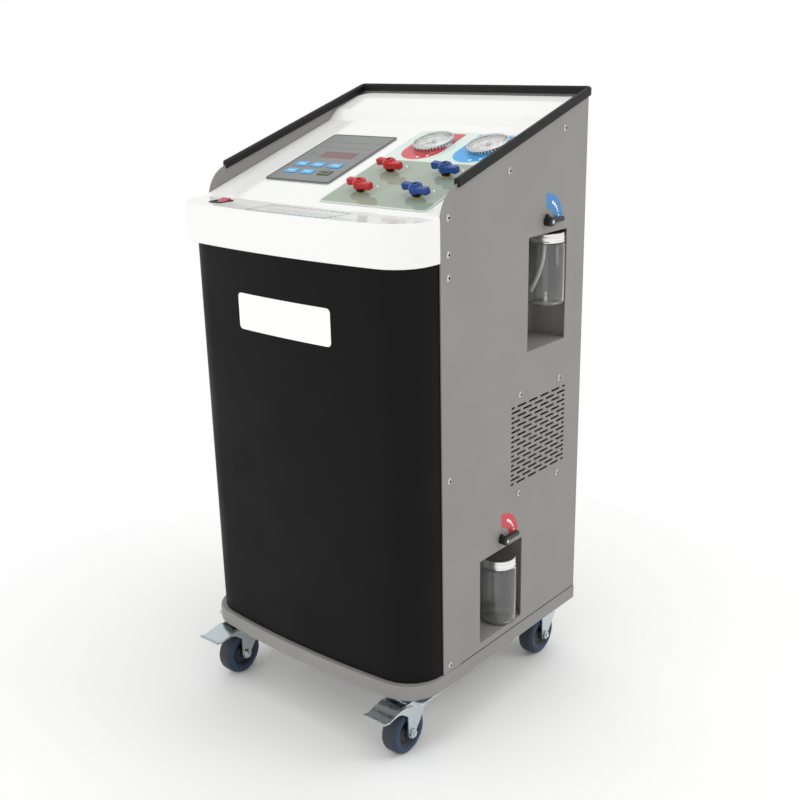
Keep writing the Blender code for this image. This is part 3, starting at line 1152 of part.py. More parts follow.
def cooling_fan(place, surfaces, machine):
    # Hub with five pitched blades on the motor's shaft
    start = FAN_MOTOR[1] + GAP
    radius, length = FAN_HUB
    bore = FAN_SHAFT + GAP
    hub = [(bore, start), (radius, start), (radius, start + length), (bore, start + length)]
    fan = turned("cooling_fan", hub, surfaces["black_plastic"], machine, 20, place, (0, math.pi / 2, 0))
    root = radius * 0.82
    middle = (root + FAN_RADIUS) / 2
    for k in range(FAN_BLADES):
        turn = 2 * math.pi * k / FAN_BLADES
        loops = []
        for r, chord, pitch in ((root, root * 1.2, 38), (middle, middle * 0.8, 28), (FAN_RADIUS, FAN_RADIUS * 0.6, 20)):
            lean = math.radians(pitch)
            loop = []
            for a, b in ((-0.5, -1), (0.5, -1), (0.5, 1), (-0.5, 1)):
                along = a * chord * math.cos(lean) - b * FAN_BLADE * math.sin(lean)
                lift = a * chord * math.sin(lean) * 0.8 + b * FAN_BLADE
                angle = turn + along / r
                loop.append((start + length / 2 + lift, r * math.cos(angle), r * math.sin(angle)))
            loops.append(loop)
        join(fan, loft("blade", loops, None, machine, place))
    return fan


def rear_fittings(surfaces, machine):
    # Mains inlet and the two hose unions in the rear cover
    half = [size / 2 for size in INLET_SIZE]
    face = DEPTH + 3 * MM
    back = DEPTH - INLET_DEPTH

    def level(y, grow):
        corners = rectangle(-half[0] - grow, half[0] + grow, -half[1] - grow, half[1] + grow)
        return [(x, y, z) for x, z in rounded(corners, 3 * MM, 1)]
    loops = [level(back + 3 * MM, -INLET_WALL), level(face, -INLET_WALL), level(face, INLET_FLANGE),
             level(DEPTH + GAP, INLET_FLANGE), level(DEPTH + GAP, 0), level(back, 0)]
    loft("power_inlet", loops, surfaces["black_plastic"], machine, (INLET_X, 0, INLET_Z))
    for side, x in zip(("left", "right"), FITTING_X):
        r = FITTING_RADIUS
        bore = r / 2
        floor = -FITTING_BODY * 0.72
        profile = [(r, -FITTING_BODY), (r, GAP), (r + 4 * MM, GAP), (r + 4 * MM, FITTING_REACH / 3),
                   (r - 2 * MM, FITTING_REACH / 3), (r - 2 * MM, FITTING_REACH), (bore, FITTING_REACH), (bore, floor),
                   (0, floor)]
        turned("hose_union_%s" % side, profile, surfaces["brass"], machine, 16, (x, DEPTH, FITTING_Z),
               (-math.pi / 2, 0, 0))


def main():
    clear_scene()
    surfaces = casing_materials()
    machine = empty("machine", None, (-MIDDLE[0], -MIDDLE[1], 0))
    slope = empty("control_slope", machine, (0, LEDGE_BACK, LEDGE_HEIGHT), (SLOPE_ANGLE, 0, 0))
    base_tray(surfaces["grey"], machine)
    right_side(surfaces["grey"], machine)
    side_panel("side_panel_left", -1, surfaces["grey"], machine)
    rear_panel(surfaces["grey"], machine)
    front_panel(surfaces["black"], machine)
    shell = hood(surfaces["white"], machine)
    hood_holes(shell, machine, slope)
    edge_trim(surfaces["rubber"], machine)
    jar_bay("jar_bay_upper", UPPER_WINDOW_Y, UPPER_WINDOW_Z, surfaces["dark"], machine)
    jar_bay("jar_bay_lower", LOWER_WINDOW_Y, LOWER_WINDOW_Z, surfaces["dark"], machine)
    keypad(surfaces, slope)
    rocker(surfaces, machine)
    valve_plate(surfaces, slope)
    manifold(surfaces, slope)
    for side, x, colour in (("left", VALVE_X[0], "red_handle"), ("right", VALVE_X[1], "blue_handle")):
        for level, s in (("lower", VALVE_S[0]), ("upper", VALVE_S[1])):
            valve_handle("valve_handle_%s_%s" % (side, level), x, s, surfaces[colour], slope)
    for side, x in zip(("left", "right"), GAUGE_X):
        gauge(side, x, surfaces, slope)
    oil_knob("oil_knob_upper", KNOB_UPPER, surfaces["black_plastic"], machine)
    oil_knob("oil_knob_lower", KNOB_LOWER, surfaces["black_plastic"], machine)
    lid = jar_set("upper", UPPER_JAR_Y, UPPER_JAR_BASE, surfaces, machine)
    drip_neck(lid, UPPER_JAR_Y, UPPER_JAR_BASE, UPPER_WINDOW_Z[1], machine)
    dip_tube(UPPER_JAR_Y, UPPER_JAR_BASE, surfaces, machine)
    jar_set("lower", LOWER_JAR_Y, LOWER_JAR_BASE, surfaces, machine)
    for name, x, y, braked in (("front_left", -CASTER_X, FRONT_WHEEL_Y, True),
                               ("front_right", CASTER_X, FRONT_WHEEL_Y, True),
                               ("rear_left", -CASTER_X, REAR_WHEEL_Y, False),
                               ("rear_right", CASTER_X, REAR_WHEEL_Y, False)):
        caster(name, x, y, braked, surfaces, machine)
    refrigerant_tank(surfaces, machine)
    compressor(surfaces, machine)
    vacuum_pump(surfaces, machine)
    place = condenser(surfaces, machine)
    cooling_fan(place, surfaces, machine)
    rear_fittings(surfaces, machine)


main()
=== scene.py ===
import json
import math

import bmesh
import bpy
import numpy as np
from mathutils import Matrix, Vector


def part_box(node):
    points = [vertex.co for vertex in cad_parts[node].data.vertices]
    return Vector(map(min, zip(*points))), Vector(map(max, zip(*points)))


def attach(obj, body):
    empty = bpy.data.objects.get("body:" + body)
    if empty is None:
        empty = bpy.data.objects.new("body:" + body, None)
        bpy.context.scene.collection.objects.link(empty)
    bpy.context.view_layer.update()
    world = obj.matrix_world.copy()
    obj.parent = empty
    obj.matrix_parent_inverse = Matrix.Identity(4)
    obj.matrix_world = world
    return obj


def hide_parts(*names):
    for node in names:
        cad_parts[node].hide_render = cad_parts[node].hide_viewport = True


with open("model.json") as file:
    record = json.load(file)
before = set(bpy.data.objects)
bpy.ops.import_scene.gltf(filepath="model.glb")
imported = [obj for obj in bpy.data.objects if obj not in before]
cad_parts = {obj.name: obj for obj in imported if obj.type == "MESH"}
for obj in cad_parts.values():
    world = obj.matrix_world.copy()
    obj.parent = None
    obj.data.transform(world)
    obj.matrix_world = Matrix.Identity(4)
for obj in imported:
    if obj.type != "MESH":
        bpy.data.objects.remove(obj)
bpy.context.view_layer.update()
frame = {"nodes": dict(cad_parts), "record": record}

print("frame loaded:", len(frame["nodes"]), "nodes")

# machine coordinates are millimetres: X across from the middle, Y back from the front edges of
# the side panels, Z up
hoodLow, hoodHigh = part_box("hood")
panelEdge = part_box("side_panel_right")[0][1]
machineOrigin = np.array([(hoodLow[0] + hoodHigh[0]) / 2, panelEdge, 0.0])
slopeFace = {"lean": math.atan(0.33), "startY": -12.0, "startZ": 880.5}
sideFace = 250.0  # the outer faces of the side panels, from the middle
bodies = frame["record"]["behaviour"]["bodies"]
bodyOf = {node: body for body, nodes in bodies.items() for node in nodes}


def onMachine(x, y, z):
    # origin + (x, y, z) / 1000, for numbers or arrays
    x, y, z = np.broadcast_arrays(*[np.asarray(value, float) for value in (x, y, z)])
    return np.stack([x, y, z], axis=-1) / 1000 + machineOrigin


def onSlope(x, s, n):
    # s runs up the control face and n stands off it: y = start + s cos - n sin,
    # z = start + s sin + n cos
    lean = slopeFace["lean"]
    s = np.asarray(s, float)
    n = np.asarray(n, float)
    y = slopeFace["startY"] + s * math.cos(lean) - n * math.sin(lean)
    z = slopeFace["startZ"] + s * math.sin(lean) + n * math.cos(lean)
    return onMachine(x, y, z)


def onRightSide(y, z, out):
    # out stands off the right panel: x = outer face + out
    return onMachine(sideFace + np.asarray(out, float), y, z)


def onLedge(x, y, n):
    # n stands off the level ledge: z = ledge + n
    return onMachine(x, y, slopeFace["startZ"] + np.asarray(n, float))


def boxOf(node):
    # the two corners of a CAD node in machine millimetres: (corner - origin) * 1000
    return [(np.array(corner) - machineOrigin) * 1000 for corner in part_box(node)]


def middleOf(node):
    # the middle of that box: (low + high) / 2
    low, high = boxOf(node)
    return (low + high) / 2


def toLinear(colour):
    # sRGB hex to linear: ((c + 0.055) / 1.055) ^ 2.4, or c / 12.92 in the dark end
    parts = [int(colour[k:k + 2], 16) / 255 for k in (1, 3, 5)]
    lit = tuple(c / 12.92 if c <= 0.04045 else ((c + 0.055) / 1.055) ** 2.4 for c in parts)
    return lit + (1.0,)


def addNode(tree, kind, settings=None, links=None):
    # one node, its sockets or properties set by name, and its inputs linked by name or number
    node = tree.nodes.new(kind)
    for key, value in (settings or {}).items():
        if key in node.inputs:
            node.inputs[key].default_value = value
        else:
            setattr(node, key, value)
    for key, source in (links or {}).items():
        tree.links.new(source, node.inputs[key])
    return node


def startMaterial(name, colour, roughness, **sockets):
    # a Principled shader whose even values sit on its own sockets
    material = bpy.data.materials.new(name)
    material.use_nodes = True
    tree = material.node_tree
    shader = tree.nodes["Principled BSDF"]
    shader.inputs["Base Color"].default_value = toLinear(colour)
    shader.inputs["Roughness"].default_value = roughness
    for key, value in sockets.items():
        shader.inputs[key.replace("_", " ")].default_value = value
    return material, tree, shader


def grain(tree, shader, millimetres, depth, detail=3.0):
    # fine relief: noise of the stated grain size on Object coordinates, through Bump
    place = addNode(tree, "ShaderNodeTexCoord")
    noise = addNode(tree, "ShaderNodeTexNoise", {"Scale": 1000 / millimetres, "Detail": detail},
                    {"Vector": place.outputs["Object"]})
    bump = addNode(tree, "ShaderNodeBump", {"Strength": 1.0, "Distance": depth / 1000},
                   {"Height": noise.outputs["Fac"]})
    tree.links.new(bump.outputs["Normal"], shader.inputs["Normal"])
    return place


patchTurn = (0.35, 0.65)  # where the noise leaves the first value and reaches the second


def mottle(tree, shader, place, millimetres, first, second, socket="Base Color"):
    # slow variation between two colours or two values, over patches of the stated size
    noise = addNode(tree, "ShaderNodeTexNoise", {"Scale": 1000 / millimetres, "Detail": 4.0},
                    {"Vector": place.outputs["Object"]})
    ramp = addNode(tree, "ShaderNodeValToRGB", None, {"Fac": noise.outputs["Fac"]})
    for element, at, value in zip(ramp.color_ramp.elements, patchTurn, (first, second)):
        element.position = at
        element.color = toLinear(value) if isinstance(value, str) else (value, value, value, 1)
    tree.links.new(ramp.outputs["Color"], shader.inputs[socket])


def powderCoat(name, colour, roughness, patch, first, second):
    # warm grey epoxy powder on steel: fine orange peel, soft highlights, almost no change of tone
    material, tree, shader = startMaterial(name, colour, roughness, IOR=1.5,
                                           Specular_IOR_Level=0.35)
    place = grain(tree, shader, 1.2, 0.012)
    mottle(tree, shader, place, patch, first, second)
    return material


def satinBlackSteel():
    # black baked enamel on bowed sheet: faint broad waves and a fine tooth
    material, tree, shader = startMaterial("satinBlackSteel", "#111111", 0.52, IOR=1.5,
                                           Specular_IOR_Level=0.1)
    place = grain(tree, shader, 1.0, 0.01)
    mottle(tree, shader, place, 120, 0.48, 0.58, "Roughness")
    return material


def glossWhiteAbs():
    # vacuum-formed ABS: near white, wet-looking gloss with a slight draw-down ripple
    material, tree, shader = startMaterial("glossWhiteAbs", "#eeefed", 0.09, IOR=1.5)
    grain(tree, shader, 40, 0.015, 1.0)
    return material


def edgeRubber():
    # extruded black rubber: dull, with a coarse skin
    material, tree, shader = startMaterial("edgeRubber", "#101010", 0.5, IOR=1.5,
                                           Specular_IOR_Level=0.3)
    grain(tree, shader, 1.4, 0.03, 2.0)
    return material


def polyesterFilm(name, colour, roughness):
    # screen-printed polyester film: even colour under a velvet surface of 0.5 mm grain
    material, tree, shader = startMaterial(name, colour, roughness, IOR=1.57)
    grain(tree, shader, 0.5, 0.004)
    return material


def mouldedPlastic(name, colour, roughness, millimetres=0.8, depth=0.01, **sockets):
    # injection-moulded plastic, lacquer or ink with a spark-eroded texture
    material, tree, shader = startMaterial(name, colour, roughness, **{"IOR": 1.49, **sockets})
    grain(tree, shader, millimetres, depth)
    return material


def zincPlate():
    # bright blue-passivated zinc on pressed steel: bluish silver, faint crystal clouding
    material, tree, shader = startMaterial("zincPlate", "#c6d0d4", 0.24, Metallic=1.0)
    place = grain(tree, shader, 3, 0.01)
    mottle(tree, shader, place, 12, 0.17, 0.32, "Roughness")
    return material


def metal(name, colour, roughness, millimetres=1.0, depth=0.006):
    # plain turned or cast metal with a fine tool grain
    material, tree, shader = startMaterial(name, colour, roughness, Metallic=1.0)
    grain(tree, shader, millimetres, depth)
    return material


def clearPlastic(name, colour, roughness, transmission=1.0, ior=1.5, alpha=1.0):
    # clear moulded plastic or glass with slow waves; a thin pane lets light through by its alpha
    material, tree, shader = startMaterial(name, colour, roughness, IOR=ior,
                                           Transmission_Weight=transmission, Alpha=alpha)
    grain(tree, shader, 25, 0.02, 1.0)
    return material


finishes = {
    "steel": powderCoat("powderCoatedSteel", "#8b8985", 0.52, 90, "#898783", "#8d8b87"),
    "black": satinBlackSteel(),
    "white": glossWhiteAbs(),
    "rubber": edgeRubber(),
    "bay": powderCoat("bayPaintWithPaintedLight", "#93928d", 0.5, 70, "#91908b", "#969590"),  # painted light: a copy of the steel mixed lighter against the shade in the bays
    "keypad": polyesterFilm("greyKeypadFilm", "#787b79", 0.34),
    "keyBlue": polyesterFilm("blueKeyFilm", "#4aa7dc", 0.3),
    "keyGreen": polyesterFilm("greenKeyFilm", "#3c5a32", 0.3),
    "keyPale": polyesterFilm("paleKeyPrint", "#bfe0f2", 0.35),
    "window": mouldedPlastic("smokedRedAcrylic", "#6a3f3a", 0.1, 20, 0.002),
    "nylon": mouldedPlastic("blackNylon", "#161616", 0.3),
    "redLens": mouldedPlastic("redPolycarbonate", "#b3131c", 0.14, 8, 0.004),
    "plate": mouldedPlastic("clearAcrylicPlate", "#cfd8cf", 0.05, 30, 0.003),
    "sage": mouldedPlastic("sagePrintUnderAcrylic", "#98a595", 0.05, 30, 0.004),
    "mint": mouldedPlastic("mintPrintUnderAcrylic", "#d3e4dc", 0.05, 30, 0.004),
    "brass": metal("machinedBrass", "#d0a452", 0.25),
    # dark nut metal; the same finish is painted shade in the screw sockets and in the gauge rings'
    # flute valleys
    "darkNut": metal("blackenedNutAndPaintedShade", "#33343a", 0.3),
    "redGrip": mouldedPlastic("redVinylGrip", "#b81a22", 0.25, 1.2, 0.008),
    "blueGrip": mouldedPlastic("blueVinylGrip", "#123f88", 0.25, 1.2, 0.008),
    "chrome": metal("polishedChrome", "#d2d4d5", 0.09, 10, 0.002),
    "needle": mouldedPlastic("needleEnamel", "#161616", 0.35),
    "gaugeGlass": clearPlastic("gaugeGlass", "#f8fbfb", 0.0, alpha=0.35),
    "jar": clearPlastic("jarPlastic", "#fbfcfc", 0.01, 0.97, 1.47),
    "lid": metal("spunAluminium", "#efefec", 0.25, 0.6, 0.008),
    "hose": mouldedPlastic("milkyPvcHose", "#f2f5f5", 0.2, 6, 0.004, Transmission_Weight=0.15),
    "zinc": zincPlate(),
    "tread": mouldedPlastic("greyElasticRubber", "#262f38", 0.55, 1.0, 0.03),
    "tyreBlue": mouldedPlastic("blueElasticRubber", "#163459", 0.42, 1.0, 0.02),
    "hub": mouldedPlastic("blackPolyamideHub", "#17181a", 0.4),
    "tank": mouldedPlastic("greyTankEnamel", "#8d9092", 0.35, 2, 0.02),
    "motor": mouldedPlastic("blackMotorEnamel", "#1d1d1e", 0.42, 1.5, 0.03),
    # painted shade: the condenser fins are darkened so the vent slots read black
    "fins": metal("finsDarkenedAsPaintedShade", "#26272a", 0.6, 0.8, 0.02),
    "plateWhite": mouldedPlastic("whitePrintedPlate", "#f4f4f2", 0.25, 6, 0.003),
    "inkBlack": mouldedPlastic("blackInk", "#1a1a1a", 0.4),
    "inkGrey": mouldedPlastic("greyInk", "#4b4d4d", 0.4),
    "inkWhite": mouldedPlastic("whiteInk", "#f4f4f2", 0.4),
    "printRed": mouldedPlastic("redPrint", "#cf3f49", 0.06, 20, 0.004),
    "printBlue": mouldedPlastic("bluePrint", "#2fa2e4", 0.06, 20, 0.004),
    "stickerBlue": polyesterFilm("blueSticker", "#2f7dbd", 0.35),
    "stickerRed": polyesterFilm("redSticker", "#c42d38", 0.35),
    "dial": mouldedPlastic("whiteDialEnamel", "#f2f2ee", 0.35, 3, 0.003),
    "screwSteel": metal("stainlessScrew", "#d4d5d3", 0.25, 0.8, 0.006),
}
print("materials made")


def addObject(name, data):
    # a new object at the origin, in the scene's collection
    made = bpy.data.objects.new(name, data)
    bpy.context.scene.collection.objects.link(made)
    return made


def finishMesh(mesh, sharp):
    # smooth shading, with edges over the stated angle left sharp
    mesh.shade_smooth()
    mesh.set_sharp_from_angle(angle=math.radians(sharp))


def makePiece(name, points, faces, finish, body="cabinet", smooth=True, faceFinish=None, sharp=35):
    # points in metres and faces as rows of indices, turned outwards by the sign of the volume
    # that they enclose: the sum of (edge x edge) . corner over their triangles
    points = np.asarray(points, float)
    volume = 0.0
    for face in faces:
        corners = points[list(face)]
        a = corners[0]
        turned = np.cross(corners[1:-1] - a, corners[2:] - a)
        volume += (turned @ (a - points[0])).sum()
    if volume < 0:
        faces = [tuple(reversed(face)) for face in faces]
    mesh = bpy.data.meshes.new(name)
    mesh.from_pydata(points.tolist(), [], [tuple(int(k) for k in face) for face in faces])
    for one in (finish if isinstance(finish, list) else [finish]):
        mesh.materials.append(finishes[one])
    if faceFinish is not None:
        mesh.polygons.foreach_set("material_index", np.asarray(faceFinish, dtype=np.int32))
    mesh.validate()
    if smooth:
        finishMesh(mesh, sharp)
    piece = addObject(name, mesh)
    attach(piece, body)
    return piece


def gridFaces(rows, columns, wrapRows):
    # quads between neighbours of a rows x columns grid that closes on itself across
    r = np.arange(rows if wrapRows else rows - 1)
    a, b = np.meshgrid(r, np.arange(columns), indexing="ij")
    a2 = (a + 1) % rows
    b2 = (b + 1) % columns
    corners = [a * columns + b, a * columns + b2, a2 * columns + b2, a2 * columns + b]
    return np.stack(corners, axis=-1).reshape(-1, 4)


def loopFaces(rows, columns, wrap):
    # the grid's quads and, unless the loops close on themselves, a cap at each end
    faces = [tuple(face) for face in gridFaces(rows, columns, wrap)]
    if not wrap:
        faces.append(tuple(range(columns))[::-1])
        faces.append(tuple(range((rows - 1) * columns, rows * columns)))
    return faces


def loopPiece(name, loops, finish, body="cabinet", wrap=False, **more):
    # closed loops joined one to the next
    loops = np.asarray(loops, float)
    rows, columns = loops.shape[:2]
    faces = loopFaces(rows, columns, wrap)
    return makePiece(name, loops.reshape(-1, 3), faces, finish, body, **more)


def turnedLoops(profile, sides, place, ripple=None):
    # an (r, h) profile spun about an axis: place(r cos t, r sin t, h), where a ripple of t is
    # added to r as far as the profile's third column says
    profile = np.asarray(profile, float)
    t = np.linspace(0, 2 * math.pi, sides, endpoint=False)
    r = profile[:, 0][:, None]
    if ripple is not None:
        r = r + ripple(t)[None, :] * profile[:, 2][:, None]
    h = np.broadcast_to(profile[:, 1][:, None], (len(profile), sides))
    return place(r * np.cos(t), r * np.sin(t), h)


def spunPiece(name, profile, sides, place, finish, body="cabinet", wrap=True, ripple=None, **more):
    # a spun profile as a piece, closed on itself or else capped at both ends
    loops = turnedLoops(profile, sides, place, ripple)
    return loopPiece(name, loops, finish, body, wrap, **more)


def plainAxes(a, b, h):
    # the identity, for a shape that is placed later
    return np.stack([a, b, h], axis=-1)


def roundedOutline(x0, x1, y0, y1, radius):
    # rectangle with quarter-circle corners of six points each, anticlockwise
    t = np.linspace(0, math.pi / 2, 6)
    corners = [(x1 - radius, y1 - radius), (x0 + radius, y1 - radius),
               (x0 + radius, y0 + radius), (x1 - radius, y0 + radius)]
    arcs = []
    for k, (x, y) in enumerate(corners):
        angle = t + k * math.pi / 2
        arcs.append(np.stack([x + radius * np.cos(angle), y + radius * np.sin(angle)], axis=-1))
    return np.vstack(arcs)


def roundOutline(x, y, radius, sides):
    # a circle: (x + r cos t, y + r sin t)
    t = np.linspace(0, 2 * math.pi, sides, endpoint=False)
    return np.stack([x + radius * np.cos(t), y + radius * np.sin(t)], axis=-1)


def bandOutline(x, y, inner, outer, t):
    # a band bent round (x, y): the outer arc at the angles t, then the inner one back
    far = np.stack([x + outer * np.cos(t), y + outer * np.sin(t)], axis=-1)
    near = np.stack([x + inner * np.cos(t), y + inner * np.sin(t)], axis=-1)
    return np.vstack([far, near[::-1]])


def filmPiece(name, outline, place, low, high, finish, body="cabinet", hole=None):
    # a flat outline made thick from low to high, with or without a hole of as many points
    outline = np.asarray(outline, float)
    rows = [(outline, low), (outline, high)]
    if hole is not None:
        rows += [(np.asarray(hole, float), high), (np.asarray(hole, float), low)]
    loops = [place(o[:, 0], o[:, 1], np.full(len(o), h)) for o, h in rows]
    return loopPiece(name, loops, finish, body, wrap=hole is not None, smooth=False)


def repeated(points, faces, places, put):
    # the same small mesh at several places: put(points, *place) lays one of them
    allPoints = np.concatenate([put(points, *place) for place in places])
    count = len(points)
    allFaces = [tuple(k + i * count for k in face) for i in range(len(places)) for face in faces]
    return allPoints, allFaces


def barFaces(count):
    # the six faces of each of several eight-cornered bars
    box = [(0, 3, 2, 1), (4, 5, 6, 7), (0, 1, 5, 4), (1, 2, 6, 5), (2, 3, 7, 6), (3, 0, 4, 7)]
    return [tuple(k + 8 * i for k in face) for i in range(count) for face in box]


# finishes of the CAD nodes, by the node's own name or else by how it starts
nodeFinish = {
    "base_tray": "steel", "side_panel_left": "steel", "side_panel_right": "steel",
    "rear_panel": "steel", "front_panel": "black", "hood": "white", "edge_trim": "rubber",
    "jar_bay_upper": "bay", "jar_bay_lower": "bay", "keypad_bezel": "keypad",
    "display_window": "window", "rocker_frame": "nylon", "rocker_cap": "redLens",
    "valve_plate": "plate", "manifold_block": "brass", "dip_tube": "hose",
    "refrigerant_tank": "tank", "compressor": "motor", "vacuum_pump": "motor",
    "condenser": "fins", "cooling_fan": "nylon", "power_inlet": "nylon", "key_6": "keyGreen",
}
startFinish = {
    "key_": "keyBlue", "valve_handle_left": "redGrip", "valve_handle_right": "blueGrip",
    "gauge_case": "chrome", "gauge_needle": "needle", "gauge_glass": "gaugeGlass",
    "oil_knob": "nylon", "oil_jar": "jar", "jar_lid": "lid", "hose_union": "brass",
    "front_": "zinc", "rear_": "zinc",
}
rebuilt = ("gauge_case_", "_wheel", "oil_jar_", "jar_lid_", "dip_tube")
edgeWidths = {
    "base_tray": 0.8, "front_panel": 0.6, "edge_trim": 0.6, "jar_bay_upper": 0.5,
    "jar_bay_lower": 0.5, "keypad_bezel": 0.5, "rocker_frame": 0.5, "rocker_cap": 0.6,
    "valve_plate": 0.3, "oil_knob_upper": 0.6, "oil_knob_lower": 0.6, "power_inlet": 0.5,
}
surfaceAngles = {"flat": 0.3, "sharp": 32, "rounded": 38}  # degrees between two faces


def finishOf(name):
    # its own finish, or that of the first start that fits
    starts = (value for key, value in startFinish.items() if name.startswith(key))
    return nodeFinish.get(name) or next(starts)


def mergedMesh(name):
    # a node's loose triangles with equal corners joined and flat neighbours made one face
    source = frame["nodes"][name].data
    flat = np.empty(len(source.vertices) * 3)
    source.vertices.foreach_get("co", flat)
    corners = np.empty(len(source.loops), dtype=np.int64)
    source.loops.foreach_get("vertex_index", corners)
    points, index = np.unique(np.round(flat.reshape(-1, 3), 6), axis=0, return_inverse=True)
    faces = index.reshape(-1)[corners].reshape(-1, 3)
    a, b, c = faces.T
    whole = (a != b) & (b != c) & (a != c)
    mesh = bpy.data.meshes.new(name + "_surface")
    mesh.from_pydata(points.tolist(), [], faces[whole].tolist())
    work = bmesh.new()
    work.from_mesh(mesh)
    bmesh.ops.dissolve_limit(work, angle_limit=math.radians(surfaceAngles["flat"]),
                             verts=work.verts, edges=work.edges)
    work.to_mesh(mesh)
    work.free()
    return mesh


def surfaceOf(name):
    # the merged copy in the node's place, its edges rounded to the width listed for it
    mesh = mergedMesh(name)
    mesh.materials.append(finishes[finishOf(name)])
    finishMesh(mesh, surfaceAngles["sharp"])
    piece = addObject(name + "_surface", mesh)
    if name in edgeWidths:
        edge = piece.modifiers.new("edges", "BEVEL")
        edge.width = edgeWidths[name] / 1000
        edge.segments = 2
        edge.limit_method = "ANGLE"
        edge.angle_limit = math.radians(surfaceAngles["rounded"])
    even = piece.modifiers.new("evenNormals", "WEIGHTED_NORMAL")
    even.keep_sharp = True
    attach(piece, bodyOf.get(name, "cabinet"))
    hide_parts(name)


for name, node in frame["nodes"].items():
    node.data.materials.clear()
    node.data.materials.append(finishes[finishOf(name)])
    if not any(part in name for part in rebuilt):
        surfaceOf(name)
print("CAD nodes merged, shaded and finished")

screw = {"washer": 5.2, "washerThick": 0.5, "radius": 4.0, "shoulder": 1.2, "rise": 2.6,
         "socket": 2.3, "socketFloor": 0.9, "sides": 18, "off": 0.05}
sideScrews = [(17.5, 880.5), (17.5, 826.6), (17.5, 792.6), (17, 473), (15.5, 148),
              (171.9, 931.9), (327.8, 984.4)]  # y, z
ventScrews = [(209.5, 388), (209.5, 564), (329, 388), (329, 564)]
rearScrews = [(x, z) for x in (-214, 214) for z in (980, 560, 160)]
# painted shade: a thin dark bar along the joint of the tray and each side panel
traySeamShade = {"x": (249.4, 250.25), "y": (46.0, 396.0), "z": (134.6, 136.0)}


def screwHead():
    # pan head on a washer with a round socket: one profile of (radius, height) spun
    d = screw
    r = d["radius"]
    profile = [(d["washer"], 0.0), (d["washer"], d["washerThick"]), (r, d["washerThick"]),
               (r, d["shoulder"]), (r * 0.9, d["rise"] * 0.8), (r * 0.72, d["rise"]),
               (d["socket"], d["rise"]), (d["socket"], d["socketFloor"])]
    loops = turnedLoops(profile, d["sides"], plainAxes)
    return loops.reshape(-1, 3), loopFaces(len(profile), d["sides"], False)


headPoints, headFaces = screwHead()


def screwRow(name, places, put):
    # the same head at each place: bright outside, with painted shade on the socket's wall and floor
    points, faces = repeated(headPoints, headFaces, places, put)
    bands = len(headFaces) - 2 - screw["sides"]
    kinds = [0] * bands + [1] * screw["sides"] + [0, 1]
    makePiece(name, points, faces, ["screwSteel", "darkNut"], faceFinish=kinds * len(places))


def sideScrewRow(name, hand, places):
    # on the outer face of a side panel: x = hand * (face + height)
    screwRow(name, places, lambda p, y, z: onMachine(
        hand * (sideFace + screw["off"] + p[:, 2]), y + p[:, 0], z + p[:, 1]))


def seamShadeBar(name, hand):
    # painted shade: one thin dark bar between the tray and the lower edge of a side panel, drawing
    # the seam's shadow line
    (x0, x1), (y0, y1) = traySeamShade["x"], traySeamShade["y"]
    ring = [(x0, y0), (x1, y0), (x1, y1), (x0, y1)]
    bar = np.array([(hand * x, y, z) for z in traySeamShade["z"] for x, y in ring])
    makePiece(name, onMachine(*bar.T), barFaces(1), "rubber", smooth=False)


sideScrewRow("panelScrews_right", 1, sideScrews + ventScrews)
sideScrewRow("panelScrews_left", -1, sideScrews)
seamShadeBar("traySeamShade_right", 1)
seamShadeBar("traySeamShade_left", -1)
rearFace = boxOf("side_panel_right")[1][1]
screwRow("rearScrews", rearScrews, lambda p, x, z: onMachine(
    x + p[:, 0], rearFace + screw["off"] + p[:, 2], z + p[:, 1]))

bolt = {"across": 6.6, "tall": 4.2, "chamfer": 0.8, "stub": 3.4, "stubChamfer": 0.5, "end": 1.6,
        "inset": 9, "off": 0.02}
nut = {"tall": 4.6, "end": 2.4, "wide": 1.25, "off": 20.8}


def hexHead(tall, end):
    # a six-sided head or nut with a chamfered end, and the bolt's own end standing out of it
    r, stub = bolt["across"], bolt["stub"]
    profile = [(r, 0.0), (r, tall - bolt["chamfer"]), (r * 0.88, tall), (stub, tall),
               (stub, tall + end - bolt["stubChamfer"]), (stub - bolt["stubChamfer"], tall + end)]
    return turnedLoops(profile, 6, plainAxes).reshape(-1, 3), loopFaces(len(profile), 6, False)


def casterBolts(name):
    # four heads under the corners of the caster's plate, pointing down: z = plate - height
    low, high = boxOf(name + "_caster_plate")
    across = (bolt["inset"], high[0] - low[0] - bolt["inset"])
    along = (bolt["inset"], high[1] - low[1] - bolt["inset"])
    spots = [(low[0] + a, low[1] + b) for a in across for b in along]
    points, faces = hexHead(bolt["tall"], bolt["end"])
    points, faces = repeated(points, faces, spots, lambda p, x, y: onMachine(
        x + p[:, 0], y + p[:, 1], low[2] - bolt["off"] - p[:, 2]))
    makePiece(name + "_plateBolts", points, faces, "zinc", smooth=False)


def axleNuts(name):
    # a wider nut on each end of the axle, turned round and not mirrored: x = hub + hand (off +
    # height), y = hub + hand a
    x, y, z = middleOf(name + "_wheel")
    points, faces = hexHead(nut["tall"], nut["end"])
    points = points * np.array([nut["wide"], nut["wide"], 1.0])
    points, faces = repeated(points, faces, [(1,), (-1,)], lambda p, hand: onMachine(
        x + hand * (nut["off"] + p[:, 2]), y + hand * p[:, 0], z + p[:, 1]))
    makePiece(name + "_axleNuts", points, faces, "zinc", name + "_fork", smooth=False)


casters = ("front_left", "front_right", "rear_left", "rear_right")
for name in casters:
    casterBolts(name)
    axleNuts(name)
print("screws and bolts placed")

panelFront = boxOf("front_panel")[0][1]
frontPlate = {"x": (-105, 98), "z": (684, 744), "corner": 7, "back": 0.3, "face": 0.8,
              "bow": 1800.0, "columns": 41}


def onFrontPanel(x, z, out):
    # y follows the bow: y = centre - sqrt((bow + out)^2 - x^2)
    bow = frontPlate["bow"]
    y = panelFront + bow - np.sqrt((bow + out) ** 2 - np.asarray(x, float) ** 2)
    return onMachine(x, y, z)


